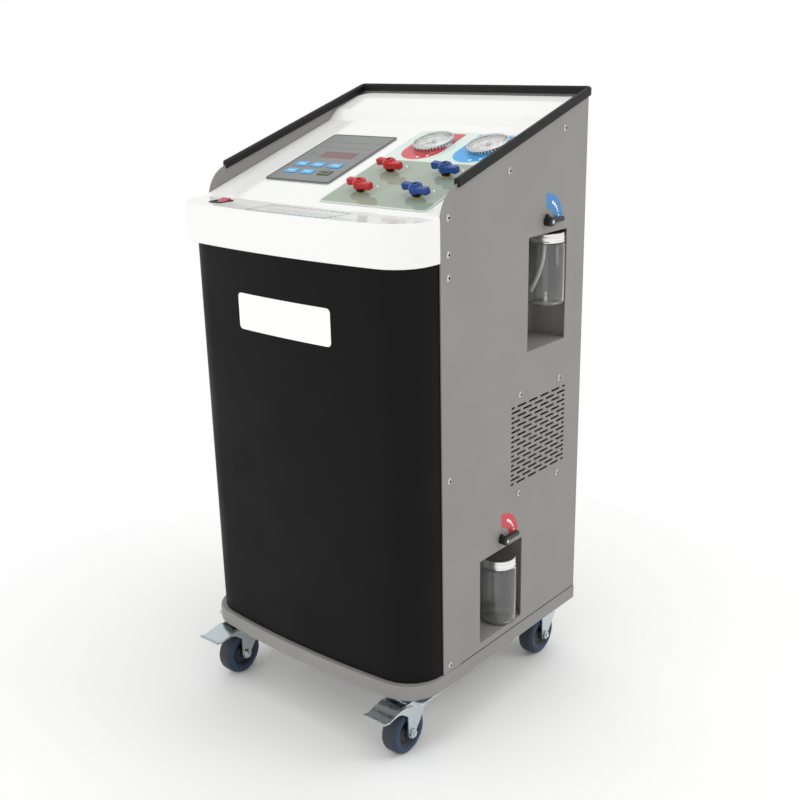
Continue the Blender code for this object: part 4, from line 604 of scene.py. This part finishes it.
def bowedPlate(name, d, finish):
    # columns across the plate, closer at its ends: x = x0 + width (1 - cos(pi u)) / 2, each as
    # tall as the rounded corners leave it: half - (r - sqrt(r^2 - (r - distance)^2))
    x0, x1 = d["x"]
    z0, z1 = d["z"]
    r = d["corner"]
    x = x0 + (x1 - x0) * (0.5 - 0.5 * np.cos(math.pi * np.linspace(0, 1, d["columns"])))
    middle = (z0 + z1) / 2
    half = (z1 - z0) / 2
    fromEnd = np.minimum(x - x0, x1 - x)
    fall = r - np.sqrt(np.maximum(r ** 2 - np.maximum(r - fromEnd, 0) ** 2, 0))
    tall = np.maximum(half - fall, half - r)
    section = [(-1, d["back"]), (1, d["back"]), (1, d["face"]), (-1, d["face"])]
    loops = np.stack([onFrontPanel(x, middle + v * tall, out) for v, out in section], axis=1)
    return loopPiece(name, loops, finish, sharp=50)


bowedPlate("frontPlate", frontPlate, "plateWhite")

ledgeLabel = {"corners": [(-66, -84), (102, -84), (102, -26), (-66, -26)],
              "dash": 7.0, "gap": 4.4, "line": 2.6, "low": 0.02, "high": 0.1}


def dashedFrame(name, d, place, finish):
    # short flat bars along the four sides, each from start to start + dash, with gaps between
    corners = np.array(d["corners"], float)
    bars = []
    for a, b in zip(corners, np.roll(corners, -1, axis=0)):
        length = np.linalg.norm(b - a)
        along = (b - a) / length
        across = np.array([-along[1], along[0]]) * d["line"]
        for s in np.arange(0, length - d["dash"], d["dash"] + d["gap"]):
            p = a + along * s
            q = p + along * d["dash"]
            flat = [p, q, q + across, p + across]
            bars += [(*c, d["low"]) for c in flat] + [(*c, d["high"]) for c in flat]
    bars = np.array(bars)
    makePiece(name, place(*bars.T), barFaces(len(bars) // 8), finish, smooth=False)


dashedFrame("ledgeDashes", ledgeLabel, onLedge, "inkBlack")
print("front plate and ledge label made")

# places on the control face are (x, s)
gaugeSpots = {"left": 66.0, "right": 176.0}
handleSpots = {"left_lower": (58.0, 63.7), "left_upper": (58.0, 139.5),
               "right_lower": (170.0, 63.7), "right_upper": (170.0, 139.5)}
plateFace = {"x": (2.0, 218.0), "s": (19.5, 298.0), "top": 1.5, "edge": 3.0, "change": 180.0,
             "corner": 6.5, "square": 0.01}
printLayers = {"field": (0.01, 0.05), "mark": (0.06, 0.1), "dot": (0.11, 0.15)}  # over the plate
gaugePrint = {"x": {"left": 61.0, "right": 167.0}, "s": (187.0, 292.0), "radius": 40.0,
              "clip": 212.0, "dots": ((6.5, 197.0), (22.5, 203.5)), "dotRadius": 2.6}
arrow = {"radius": 26.5, "turn": (38, 64), "points": 12, "head": 9, "half": 0.65, "wide": 2.1,
         "tip": 0.02}


def platePrint(name, outline, layer, finish):
    # a film on the plate's face, in one of the print's layers
    low, high = printLayers[layer]
    filmPiece(name, outline, onSlope, plateFace["top"] + low, plateFace["top"] + high, finish)


def plateOutline(s0, s1, roundLow, roundHigh):
    # the printed field between two heights, with its outer corners rounded where asked
    d = plateFace
    x0, x1 = d["x"][0] + d["edge"], d["x"][1] - d["edge"]
    whole = roundedOutline(x0, x1, s0, s1, d["corner"])
    square = roundedOutline(x0, x1, s0, s1, d["square"])
    high = whole[:, 1] > (s0 + s1) / 2
    return np.where((high & roundHigh | ~high & roundLow)[:, None], whole, square)


def archOutline(middle, d):
    # a half round below and straight sides up to a square top, clipped on the right
    low, high = d["s"]
    r = d["radius"]
    t = np.linspace(math.pi, 2 * math.pi, 33)
    bottom = np.stack([middle + r * np.cos(t), low + r + r * np.sin(t)], axis=-1)
    outline = np.vstack([bottom, [(middle + r, high), (middle - r, high)]])
    outline[:, 0] = np.minimum(outline[:, 0], d["clip"])
    return outline


def turnArrow(name, x, s):
    # a thin band bent round the valve's centre, widened at its head and drawn in to a tip
    d = arrow
    k = np.arange(d["points"])
    last = d["points"] - 1
    head = np.interp(k, [d["head"] - 1, d["head"], last], [d["half"], d["wide"], d["tip"]])
    half = np.where(k < d["head"], d["half"], head)
    t = np.radians(np.linspace(*d["turn"], d["points"]))
    band = bandOutline(x, s, d["radius"] - half, d["radius"] + half, t)
    platePrint(name, band, "mark", "inkWhite")


low, high = plateFace["s"][0] + plateFace["edge"], plateFace["s"][1] - plateFace["edge"]
platePrint("sagePrint", plateOutline(low, plateFace["change"], True, False), "field", "sage")
platePrint("mintPrint", plateOutline(plateFace["change"], high, False, True), "field", "mint")
for (side, x), finish in zip(gaugePrint["x"].items(), ("printRed", "printBlue")):
    platePrint("gaugePrint_" + side, archOutline(x, gaugePrint), "mark", finish)
    for k, (dx, s) in enumerate(gaugePrint["dots"]):
        spot = roundOutline(x + dx, s, gaugePrint["dotRadius"], 20)
        platePrint("printDot_%s_%d" % (side, k), spot, "dot", "inkWhite")
for name, (x, s) in handleSpots.items():
    turnArrow("turnArrow_" + name, x, s)
print("valve plate print made")

valve = {"foot": 7.6, "footBore": 6.1, "nut": 7.4, "nutBore": 6.05, "handleTop": 20.8,
         "ring": (4.6, 7.6)}


def valveFittings(name, x, s):
    # profiles of (radius, height) spun: foot and nut stay, ring and screw turn with the handle
    place = lambda a, b, h: onSlope(x + a, s + b, h)
    r, bore = valve["foot"], valve["footBore"]
    foot = [(r, 1.55), (r, 2.6), (r - 0.8, 3.4), (bore, 3.6), (bore, 1.6)]
    spunPiece("valveFoot_" + name, foot, 32, place, "brass")
    r, bore = valve["nut"], valve["nutBore"]
    profile = [(bore, 3.7), (r + 0.6, 3.7), (r + 1.0, 4.2), (r + 1.0, 7.6), (r + 0.5, 8.2),
               (bore, 8.2)]
    spunPiece("valveNut_" + name, profile, 6, place, "darkNut", smooth=False)
    top = valve["handleTop"]
    inner, outer = valve["ring"]
    ring = [(inner, top - 1.0), (outer, top - 1.0), (outer, top + 0.9), (outer - 0.6, top + 1.5),
            (inner + 0.6, top + 1.5), (inner, top + 0.9)]
    grip = "redGrip" if name.startswith("left") else "blueGrip"
    handle = "valve_handle_" + name
    spunPiece("handleRing_" + name, ring, 40, place, grip, handle)
    head = [(3.2, top - 1.5), (3.2, top + 0.1), (2.7, top + 0.5), (1.2, top + 0.5),
            (1.2, top - 0.6)]
    spunPiece("handleScrew_" + name, head, 24, place, "darkNut", handle, wrap=False)


for name, (x, s) in handleSpots.items():
    valveFittings(name, x, s)
print("valve fittings made")

gauge = {"s": 246.0, "radius": 35.6, "barrel": 29.0, "bore": 27.6, "rim": 10.6, "base": 1.62,
         "deep": 28, "dial": 4.8, "flutes": 40, "perFlute": 6, "fluteDepth": 0.45,
         "paintedShadeRows": (6, 8), "paintedShadeColumns": (2, 3)}
scale = {"start": 225, "sweep": 270, "ticks": 51, "every": 10, "end": 26.5, "long": (21.5, 0.45),
         "short": (24.5, 0.2), "tickLayer": (0.03, 0.12), "numbers": 6, "numbersAt": 17.5,
         "size": 5.6, "numberLevel": 0.08, "numberThick": 0.04}


def dialTicks(side, x, top):
    # bars from r0 to end at angle = start - sweep k / steps: (r cos - v sin, r sin + v cos)
    d = scale
    k = np.arange(d["ticks"])
    angle = np.radians(d["start"] - d["sweep"] * k / (d["ticks"] - 1))
    large = k % d["every"] == 0
    r0 = np.where(large, d["long"][0], d["short"][0])
    w = np.where(large, d["long"][1], d["short"][1])
    c, s = np.cos(angle), np.sin(angle)
    bars = []
    for h in d["tickLayer"]:
        for r, v in ((r0, -w), (d["end"], -w), (d["end"], w), (r0, w)):
            level = np.full(d["ticks"], top + h)
            bars.append(np.stack([x + r * c - v * s, gauge["s"] + r * s + v * c, level], axis=-1))
    bars = np.stack(bars, axis=1).reshape(-1, 3)
    makePiece("dialTicks_" + side, onSlope(*bars.T), barFaces(d["ticks"]), "inkBlack",
              smooth=False)


def dialNumber(name, text, x, s, level):
    # one plain number as a mesh, centred on (x, s) of the control face
    words = bpy.data.curves.new("number", "FONT")
    words.body = text
    words.size = scale["size"]
    words.align_x = "CENTER"
    words.align_y = "CENTER"
    words.extrude = scale["numberThick"]
    holder = addObject("number", words)
    made = bpy.data.meshes.new_from_object(holder)
    flat = np.empty(len(made.vertices) * 3)
    made.vertices.foreach_get("co", flat)
    u, v, w = flat.reshape(-1, 3).T
    faces = [tuple(face.vertices) for face in made.polygons]
    bpy.data.objects.remove(holder)
    makePiece(name, onSlope(x + u, s + v, level + w), faces, "inkBlack", smooth=False)


def gaugeBody(side, x):
    # fluted chrome ring over a white dial: the ring's outer slope carries a ripple of
    # depth cos(flutes t), with painted shade (the dark finish) in its valleys
    d = gauge
    r, base, bore = d["radius"], d["base"], d["bore"]
    top, dial = base + d["rim"], d["dial"]
    profile = [(r - 5.2, dial, 0), (r - 5.0, top - 2.6, 0), (r - 4.6, top - 0.8, 0),
               (r - 3.8, top, 0), (r - 3.0, top - 0.1, 0.3), (r - 1.6, top - 1.4, 1),
               (r - 0.7, top - 3.2, 1), (r - 0.4, top - 5.4, 1), (r - 0.5, top - 6.6, 0.4),
               (r - 1.0, top - 7.2, 0), (r - 1.0, base, 0), (d["barrel"], base, 0),
               (d["barrel"], base - d["deep"], 0), (bore, base - d["deep"], 0), (bore, dial, 0)]
    place = lambda a, b, h: onSlope(x + a, d["s"] + b, h)
    sides = d["perFlute"] * d["flutes"]
    row, column = np.divmod(np.arange(len(profile) * sides), sides)
    inRows = (row >= d["paintedShadeRows"][0]) & (row <= d["paintedShadeRows"][1])
    dark = inRows & np.isin(column % d["perFlute"], d["paintedShadeColumns"])
    ring = spunPiece("gaugeRing_" + side, profile, sides, place, ["chrome", "darkNut"],
                     ripple=lambda t: d["fluteDepth"] * np.cos(d["flutes"] * t),
                     faceFinish=dark, sharp=50)
    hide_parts("gauge_case_" + side)
    disc = [(r - 5.3, dial - 0.8), (r - 5.3, dial - 0.05), (1.0, dial), (1.0, dial - 0.8)]
    spunPiece("gaugeDial_" + side, disc, 48, place, "dial")


def dialPrint(side, x):
    # the ticks, then a number at every fifth of the sweep
    d = scale
    dialTicks(side, x, gauge["dial"])
    for k in range(d["numbers"]):
        angle = math.radians(d["start"] - d["sweep"] / (d["numbers"] - 1) * k)
        across, up = d["numbersAt"] * math.cos(angle), d["numbersAt"] * math.sin(angle)
        dialNumber("dialNumber_%s_%d" % (side, k), str(k * 10), x + across, gauge["s"] + up,
                   gauge["dial"] + d["numberLevel"])


for side, x in gaugeSpots.items():
    gaugeBody(side, x)
    dialPrint(side, x)
print("gauges made")

wheel = {"radius": 40.0, "half": 16.0, "bore": 4.3, "boss": 17.6, "sides": 72}


def wheelPiece(name):
    # one turned section, closed on itself: hub, then blue band, then the crowned tread, and back;
    # each row is radius, offset along the axle, and the finish of the band that starts there
    r, h, boss = wheel["radius"], wheel["half"], wheel["boss"]
    hub, blue, tread = 0, 1, 2
    right = [(wheel["bore"], boss, hub), (9.0, boss, hub), (9.6, boss - 0.8, hub),
             (10.0, h - 4.5, hub), (13.0, h - 6.5, hub), (20.0, h - 6.5, hub),
             (22.5, h - 3.0, hub), (25.6, h - 1.2, hub), (26.6, h - 1.4, blue),
             (27.4, h - 0.6, blue), (31.0, h - 0.4, blue), (33.6, h - 1.0, blue),
             (34.4, h - 1.8, tread), (36.5, h - 2.4, tread), (38.4, h - 4.0, tread),
             (39.6, h - 7.0, tread), (r, h - 11.0, tread)]
    mirrored = [(a, -b, kind) for a, b, kind in reversed(right)]
    kinds = [row[2] for row in right] + [row[2] for row in reversed(right[:-1])] + [hub]
    x, y, z = middleOf(name + "_wheel")
    piece = spunPiece(name + "_tyre", [row[:2] for row in right + mirrored], wheel["sides"],
                      lambda a, b, off: onMachine(x + off, y + a, z + b),
                      ["hub", "tyreBlue", "tread"], name + "_wheel",
                      faceFinish=np.repeat(np.array(kinds), wheel["sides"]), sharp=50)
    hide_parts(name + "_wheel")


for name in casters:
    wheelPiece(name)
print("wheels made")

jar = {"radius": 31.0, "wall": 1.5, "floor": 2.6, "foot": 0.9, "heel": 5.0, "shoulder": 3.2,
       "sides": 72}
lid = {"radius": 29.5, "tall": 15.7, "knurls": 64, "knurlDepth": 0.24, "sides": 192}
drainNub = [(0.4, 18.0), (2.0, 17.0), (2.5, 15.2), (1.8, 13.2), (1.3, 12.0), (1.3, 9.0),
            (2.6, 7.4), (3.3, 5.0), (2.8, 2.4), (1.8, 0.1)]  # radius, height over the jar's floor
levelMark = {"count": 17, "first": 14, "step": 5.2, "tall": 1.2, "turn": (0, 17), "every": 4,
             "off": (0.03, 0.13)}
tube = {"toward": (-0.763, -0.647), "start": 4.0, "reach": 21.0, "ease": 1.25, "radius": 3.5,
        "rings": 33, "sides": 16, "top": 1.0, "end": 22.0}


def jarPiece(level, x, y, base, neck, top):
    # a clear beaker: rounded heel, straight wall, a shoulder drawn in to the neck under the lid,
    # and the same inside; then the black seal on the shoulder
    r, w, f, heel = jar["radius"], jar["wall"], jar["floor"], jar["heel"]
    mouth = r - jar["shoulder"]
    t = np.radians(np.linspace(-90, 0, 7))
    foot = base + jar["foot"]
    outside = [(1.0, foot), (r - 9, foot), (r - 7, base)]
    outside += [(r - heel + heel * math.cos(a), base + heel + heel * math.sin(a)) for a in t]
    outside += [(r, neck - 5), (r - 0.4, neck - 3.6), (r - 2.0, neck - 2.0), (mouth, neck - 1.3),
                (mouth, top)]
    inside = [(mouth - w, top), (mouth - w, neck - 1.7), (r - w - 0.4, neck - 4.8)]
    bend = heel - 1
    inside += [(r - w - bend + bend * math.cos(a), base + f + bend + bend * math.sin(a))
               for a in t[::-1]]
    inside += [(1.0, base + f)]
    place = lambda a, b, h: onMachine(x + a, y + b, h)
    piece = spunPiece("jarGlass_" + level, outside + inside, jar["sides"], place, "jar",
                      "oil_jar_" + level, sharp=60)
    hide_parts("oil_jar_" + level)
    seal = [(r - 3.1, neck - 1.15), (r - 1.1, neck - 1.15), (r - 1.1, neck - 0.1),
            (r - 3.1, neck - 0.1)]
    spunPiece("lidSeal_" + level, seal, 48, place, "nylon", bodyOf["jar_lid_" + level])


def lidPiece(level, x, y, low):
    # spun lid: rolled lower bead, a stepped skirt with a ripple of depth cos(knurls t), and a
    # flat top with a raised rim
    r = lid["radius"]
    top = low + lid["tall"]
    profile = [(r - 1.2, low, 0), (r + 0.5, low, 0), (r + 0.9, low + 0.7, 0),
               (r + 0.9, low + 1.6, 0), (r + 0.2, low + 2.4, 0), (r - 0.3, low + 3.2, 0),
               (r - 0.2, low + 4.0, 0.4), (r, low + 4.6, 1), (r, low + 9.6, 1),
               (r - 0.2, low + 10.2, 0.4), (r - 0.5, low + 10.8, 0), (r - 0.1, low + 11.6, 0),
               (r - 0.1, top - 1.4, 0), (r - 0.8, top - 0.3, 0), (r - 2.0, top, 0),
               (r - 3.2, top - 0.5, 0), (1.0, top - 0.5, 0), (1.0, top - 1.3, 0),
               (r - 1.2, top - 1.3, 0)]
    piece = spunPiece("lid_" + level, profile, lid["sides"],
                      lambda a, b, h: onMachine(x + a, y + b, h), "lid",
                      bodyOf["jar_lid_" + level],
                      ripple=lambda t: lid["knurlDepth"] * np.cos(lid["knurls"] * t))
    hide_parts("jar_lid_" + level)


def levelMarks(level, x, y, base):
    # short printed strokes up the wall of the jar, every fourth one twice as long
    d = levelMark
    start, end = d["turn"]
    bars = []
    for k in range(d["count"]):
        z = base + d["first"] + k * d["step"]
        t0 = math.radians(start)
        t1 = math.radians(end if k % d["every"] == 0 else (start + end) / 2)
        for off in d["off"]:
            r = jar["radius"] + off
            bars += [(r, t0, z), (r, t1, z), (r, t1, z + d["tall"]), (r, t0, z + d["tall"])]
    r, t, z = np.array(bars).T
    makePiece("levelMarks_" + level, onMachine(x + r * np.cos(t), y + r * np.sin(t), z),
              barFaces(d["count"]), "inkBlack", "oil_jar_" + level, smooth=False)


def dipTube(x, y, high, low):
    # a soft tube hanging from the lid and bending to the wall:
    # offset = start + reach (1 - cos(90 u^ease))
    d = tube
    toward = np.array(d["toward"])
    u = np.linspace(0, 1, d["rings"])
    off = d["start"] + d["reach"] * (1 - np.cos(np.radians(90) * u ** d["ease"]))
    z = high + (low - high) * u
    middle = np.stack([x + toward[0] * off, y + toward[1] * off, z], axis=-1)
    along = np.gradient(middle, axis=0)
    along /= np.linalg.norm(along, axis=1)[:, None]
    side = np.cross(along, [-toward[1], toward[0], 0.0])
    across = np.cross(along, side)
    t = np.linspace(0, 2 * math.pi, d["sides"], endpoint=False)[None, :, None]
    ring = np.cos(t) * side[:, None, :] + np.sin(t) * across[:, None, :]
    loops = middle[:, None, :] + d["radius"] * ring
    piece = loopPiece("dipTube", onMachine(loops[..., 0], loops[..., 1], loops[..., 2]), "hose",
                      bodyOf["dip_tube"])
    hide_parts("dip_tube")


for level in ("upper", "lower"):
    x, y, z = middleOf("oil_jar_" + level)
    jarLow, jarHigh = boxOf("oil_jar_" + level)
    lidLow = boxOf("jar_lid_" + level)[0][2]
    jarPiece(level, x, y, jarLow[2], lidLow, jarHigh[2])
    lidPiece(level, x, y, lidLow)
    levelMarks(level, x, y, jarLow[2])
    if level == "upper":
        dipTube(x, y, lidLow + tube["top"], jarLow[2] + tube["end"])
        floor = jarLow[2] + jar["floor"]
        spunPiece("drainNub", drainNub, 24, lambda a, b, h: onMachine(x + a, y + b, floor + h),
                  "hose", "oil_jar_upper", wrap=False)
print("jars made")

sticker = {"turn": (94, 4), "outer": 47.0, "inner": 22.0, "off": 0.03, "thick": 0.15,
           "shift": (3.0, -3.0), "dotsAt": 35, "dotLayer": (0.01, 0.06),
           "dots": ((62, 2.9), (51, 2.6), (41, 2.2), (32.5, 1.7), (25, 1.5), (14, 1.9))}
knobSpots = {"upper": (278.0, 841.0, "stickerBlue"), "lower": (159.0, 320.5, "stickerRed")}
knobDome = [(3.2, -1.0), (3.2, 0.2), (2.6, 0.7), (1.4, 1.0), (0.3, 1.1)]  # radius, height


def quarterSticker(level, y, z, finish):
    # a quarter ring from straight up round to the rear, with a row of white dots
    d = sticker
    y, z = y + d["shift"][0], z + d["shift"][1]
    ring = bandOutline(y, z, d["inner"], d["outer"], np.radians(np.linspace(*d["turn"], 25)))
    filmPiece("sticker_" + level, ring, onRightSide, d["off"], d["thick"], finish)
    low, high = [d["thick"] + h for h in d["dotLayer"]]
    for k, (angle, size) in enumerate(d["dots"]):
        a = math.radians(angle)
        spot = roundOutline(y + d["dotsAt"] * math.cos(a), z + d["dotsAt"] * math.sin(a), size, 16)
        filmPiece("stickerDot_%s_%d" % (level, k), spot, onRightSide, low, high, "inkWhite")


def knobScrew(level, y, z):
    # a bright domed screw in the end of the knob's hub
    face = boxOf("oil_knob_" + level)[1][0]
    spunPiece("knobScrew_" + level, knobDome, 20,
              lambda a, b, h: onMachine(face + h, y + a, z + b), "screwSteel",
              "oil_knob_" + level, wrap=False)


for level, (y, z, finish) in knobSpots.items():
    quarterSticker(level, y, z, finish)
    knobScrew(level, y, z)
print("stickers made")

keypad = {"x": (-174, -27), "s": (78, 265), "proud": 2.5, "line": 2.6, "inset": 0.3,
          "corners": (4.6, 2.8), "low": 0.02, "borderHigh": 0.1, "ruleHigh": 0.08,
          "rules": [(-162, -39, 232, 232.5), (-162, -39, 210, 210.5), (-160, -138, 176, 176.8),
                    (-160, -138, 184, 184.8), (-47, -37, 172, 172.8), (-47, -37, 188, 188.8)]}
keyMark = {"half": (8, 1.6), "corner": 1.2, "layer": (3.72, 3.78)}


def keypadPrint():
    # a black line inside the film's edge, two rules above the display and short ones beside it
    d = keypad
    outer, inner = [roundedOutline(d["x"][0] + e, d["x"][1] - e, d["s"][0] + e, d["s"][1] - e, r)
                    for e, r in zip((d["inset"], d["inset"] + d["line"]), d["corners"])]
    low = d["proud"] + d["low"]
    filmPiece("keypadBorder", outer, onSlope, low, d["proud"] + d["borderHigh"], "inkBlack",
              hole=inner)
    bars = []
    for a, b, s0, s1 in d["rules"]:
        for h in (low, d["proud"] + d["ruleHigh"]):
            bars += [(a, s0, h), (b, s0, h), (b, s1, h), (a, s1, h)]
    makePiece("keypadRules", onSlope(*np.array(bars).T), barFaces(len(d["rules"])), "inkGrey",
              smooth=False)


def keyPrint(k):
    # one short bar in the middle of a key: s = y cos + z sin of the key's middle
    x, y, z = middleOf("key_%d" % k)
    lean = slopeFace["lean"]
    y, z = y - slopeFace["startY"], z - slopeFace["startZ"]
    s = y * math.cos(lean) + z * math.sin(lean)
    across, up = keyMark["half"]
    outline = roundedOutline(x - across, x + across, s - up, s + up, keyMark["corner"])
    filmPiece("keyMark_%d" % k, outline, onSlope, *keyMark["layer"],
              "inkBlack" if k == 6 else "keyPale", "key_%d" % k)


keypadPrint()
for k in range(1, 7):
    keyPrint(k)
print("keypad print made")

stage = {"half": 30.0, "near": 0.3, "far": 1.25, "world": 0.88}  # metres, and the world's strength
lights = {
    "topBox": {"place": (0.5, 0.3, 3.4), "aim": (0, 0, 0.8), "size": (2.4, 2.4), "watts": 12},
    "sideBox": {"place": (2.6, 1.2, 2.4), "aim": (0.1, 0, 0.6), "size": (1.2, 1.6), "watts": 16},
    "frontBox": {"place": (-0.6, -3.2, 1.6), "aim": (0, 0, 0.7), "size": (1.6, 1.6), "watts": 20},
}
reflected = ("topBox",)  # the others light without showing in glossy surfaces


def makeFloor():
    # a wide pale floor under the casters, fading to plain white from near to far
    s = stage["half"]
    mesh = bpy.data.meshes.new("floor")
    mesh.from_pydata([(-s, -s, 0), (s, -s, 0), (s, s, 0), (-s, s, 0)], [], [(0, 1, 2, 3)])
    material, tree, shader = startMaterial("paleFloor", "#fbfbfa", 0.7, Specular_IOR_Level=0.2)
    place = addNode(tree, "ShaderNodeTexCoord")
    length = addNode(tree, "ShaderNodeVectorMath", {"operation": "LENGTH"},
                     {0: place.outputs["Object"]})
    fade = addNode(tree, "ShaderNodeMapRange",
                   {"From Min": stage["near"], "From Max": stage["far"],
                    "interpolation_type": "SMOOTHSTEP"}, {"Value": length.outputs["Value"]})
    glow = addNode(tree, "ShaderNodeEmission", {"Color": (1, 1, 1, 1), "Strength": 1.0})
    mixed = addNode(tree, "ShaderNodeMixShader", None,
                    {"Fac": fade.outputs["Result"], 1: shader.outputs["BSDF"],
                     2: glow.outputs["Emission"]})
    tree.links.new(mixed.outputs["Shader"], tree.nodes["Material Output"].inputs["Surface"])
    mesh.materials.append(material)
    addObject("floor", mesh)


def makeLight(name, d):
    # a softbox looking from place to aim
    lamp = bpy.data.lights.new(name, "AREA")
    lamp.shape = "RECTANGLE"
    lamp.size, lamp.size_y = d["size"]
    lamp.energy = d["watts"]
    holder = addObject(name, lamp)
    holder.location = d["place"]
    aim = Vector(d["aim"]) - Vector(d["place"])
    holder.rotation_euler = aim.to_track_quat("-Z", "Y").to_euler()
    holder.visible_glossy = name in reflected


def makeWorld():
    # white for the camera, a little dimmer for everything else
    world = bpy.data.worlds.new("studio")
    world.use_nodes = True
    tree = world.node_tree
    soft = tree.nodes["Background"]
    soft.inputs["Color"].default_value = toLinear("#ffffff")
    soft.inputs["Strength"].default_value = stage["world"]
    plain = addNode(tree, "ShaderNodeBackground", {"Color": (1, 1, 1, 1), "Strength": 1.0})
    path = addNode(tree, "ShaderNodeLightPath")
    mixed = addNode(tree, "ShaderNodeMixShader", None,
                    {"Fac": path.outputs["Is Camera Ray"], 1: soft.outputs["Background"],
                     2: plain.outputs["Background"]})
    tree.links.new(mixed.outputs["Shader"], tree.nodes["World Output"].inputs["Surface"])
    bpy.context.scene.world = world


makeFloor()
for name, d in lights.items():
    makeLight(name, d)
makeWorld()
bpy.context.scene.view_settings.view_transform = "Standard"
bpy.context.scene.view_settings.look = "None"

view = {"azimuth": 40.324, "elevation": 18.191, "roll": -1.229,
        "place": (1214.8, -1233.4, 1125.6), "lens": 49.413, "sensor": 36}


def makeCamera():
    # right = (cos az, sin az, 0), back = (sin az cos el, -cos az cos el, sin el), rolled about back
    az, el, roll = [math.radians(view[k]) for k in ("azimuth", "elevation", "roll")]
    back = Vector((math.sin(az) * math.cos(el), -math.cos(az) * math.cos(el), math.sin(el)))
    right = Vector((math.cos(az), math.sin(az), 0))
    up = back.cross(right)
    rolledRight = right * math.cos(roll) + up * math.sin(roll)
    rolledUp = up * math.cos(roll) - right * math.sin(roll)
    camera = bpy.data.cameras.new("camera")
    camera.lens = view["lens"]
    camera.sensor_width = view["sensor"]
    holder = addObject("camera", camera)
    turn = Matrix((rolledRight, rolledUp, back)).transposed().to_4x4()
    holder.matrix_world = Matrix.Translation(Vector(onMachine(*view["place"]))) @ turn
    bpy.context.scene.camera = holder


makeCamera()
print("stage, lights and camera set")
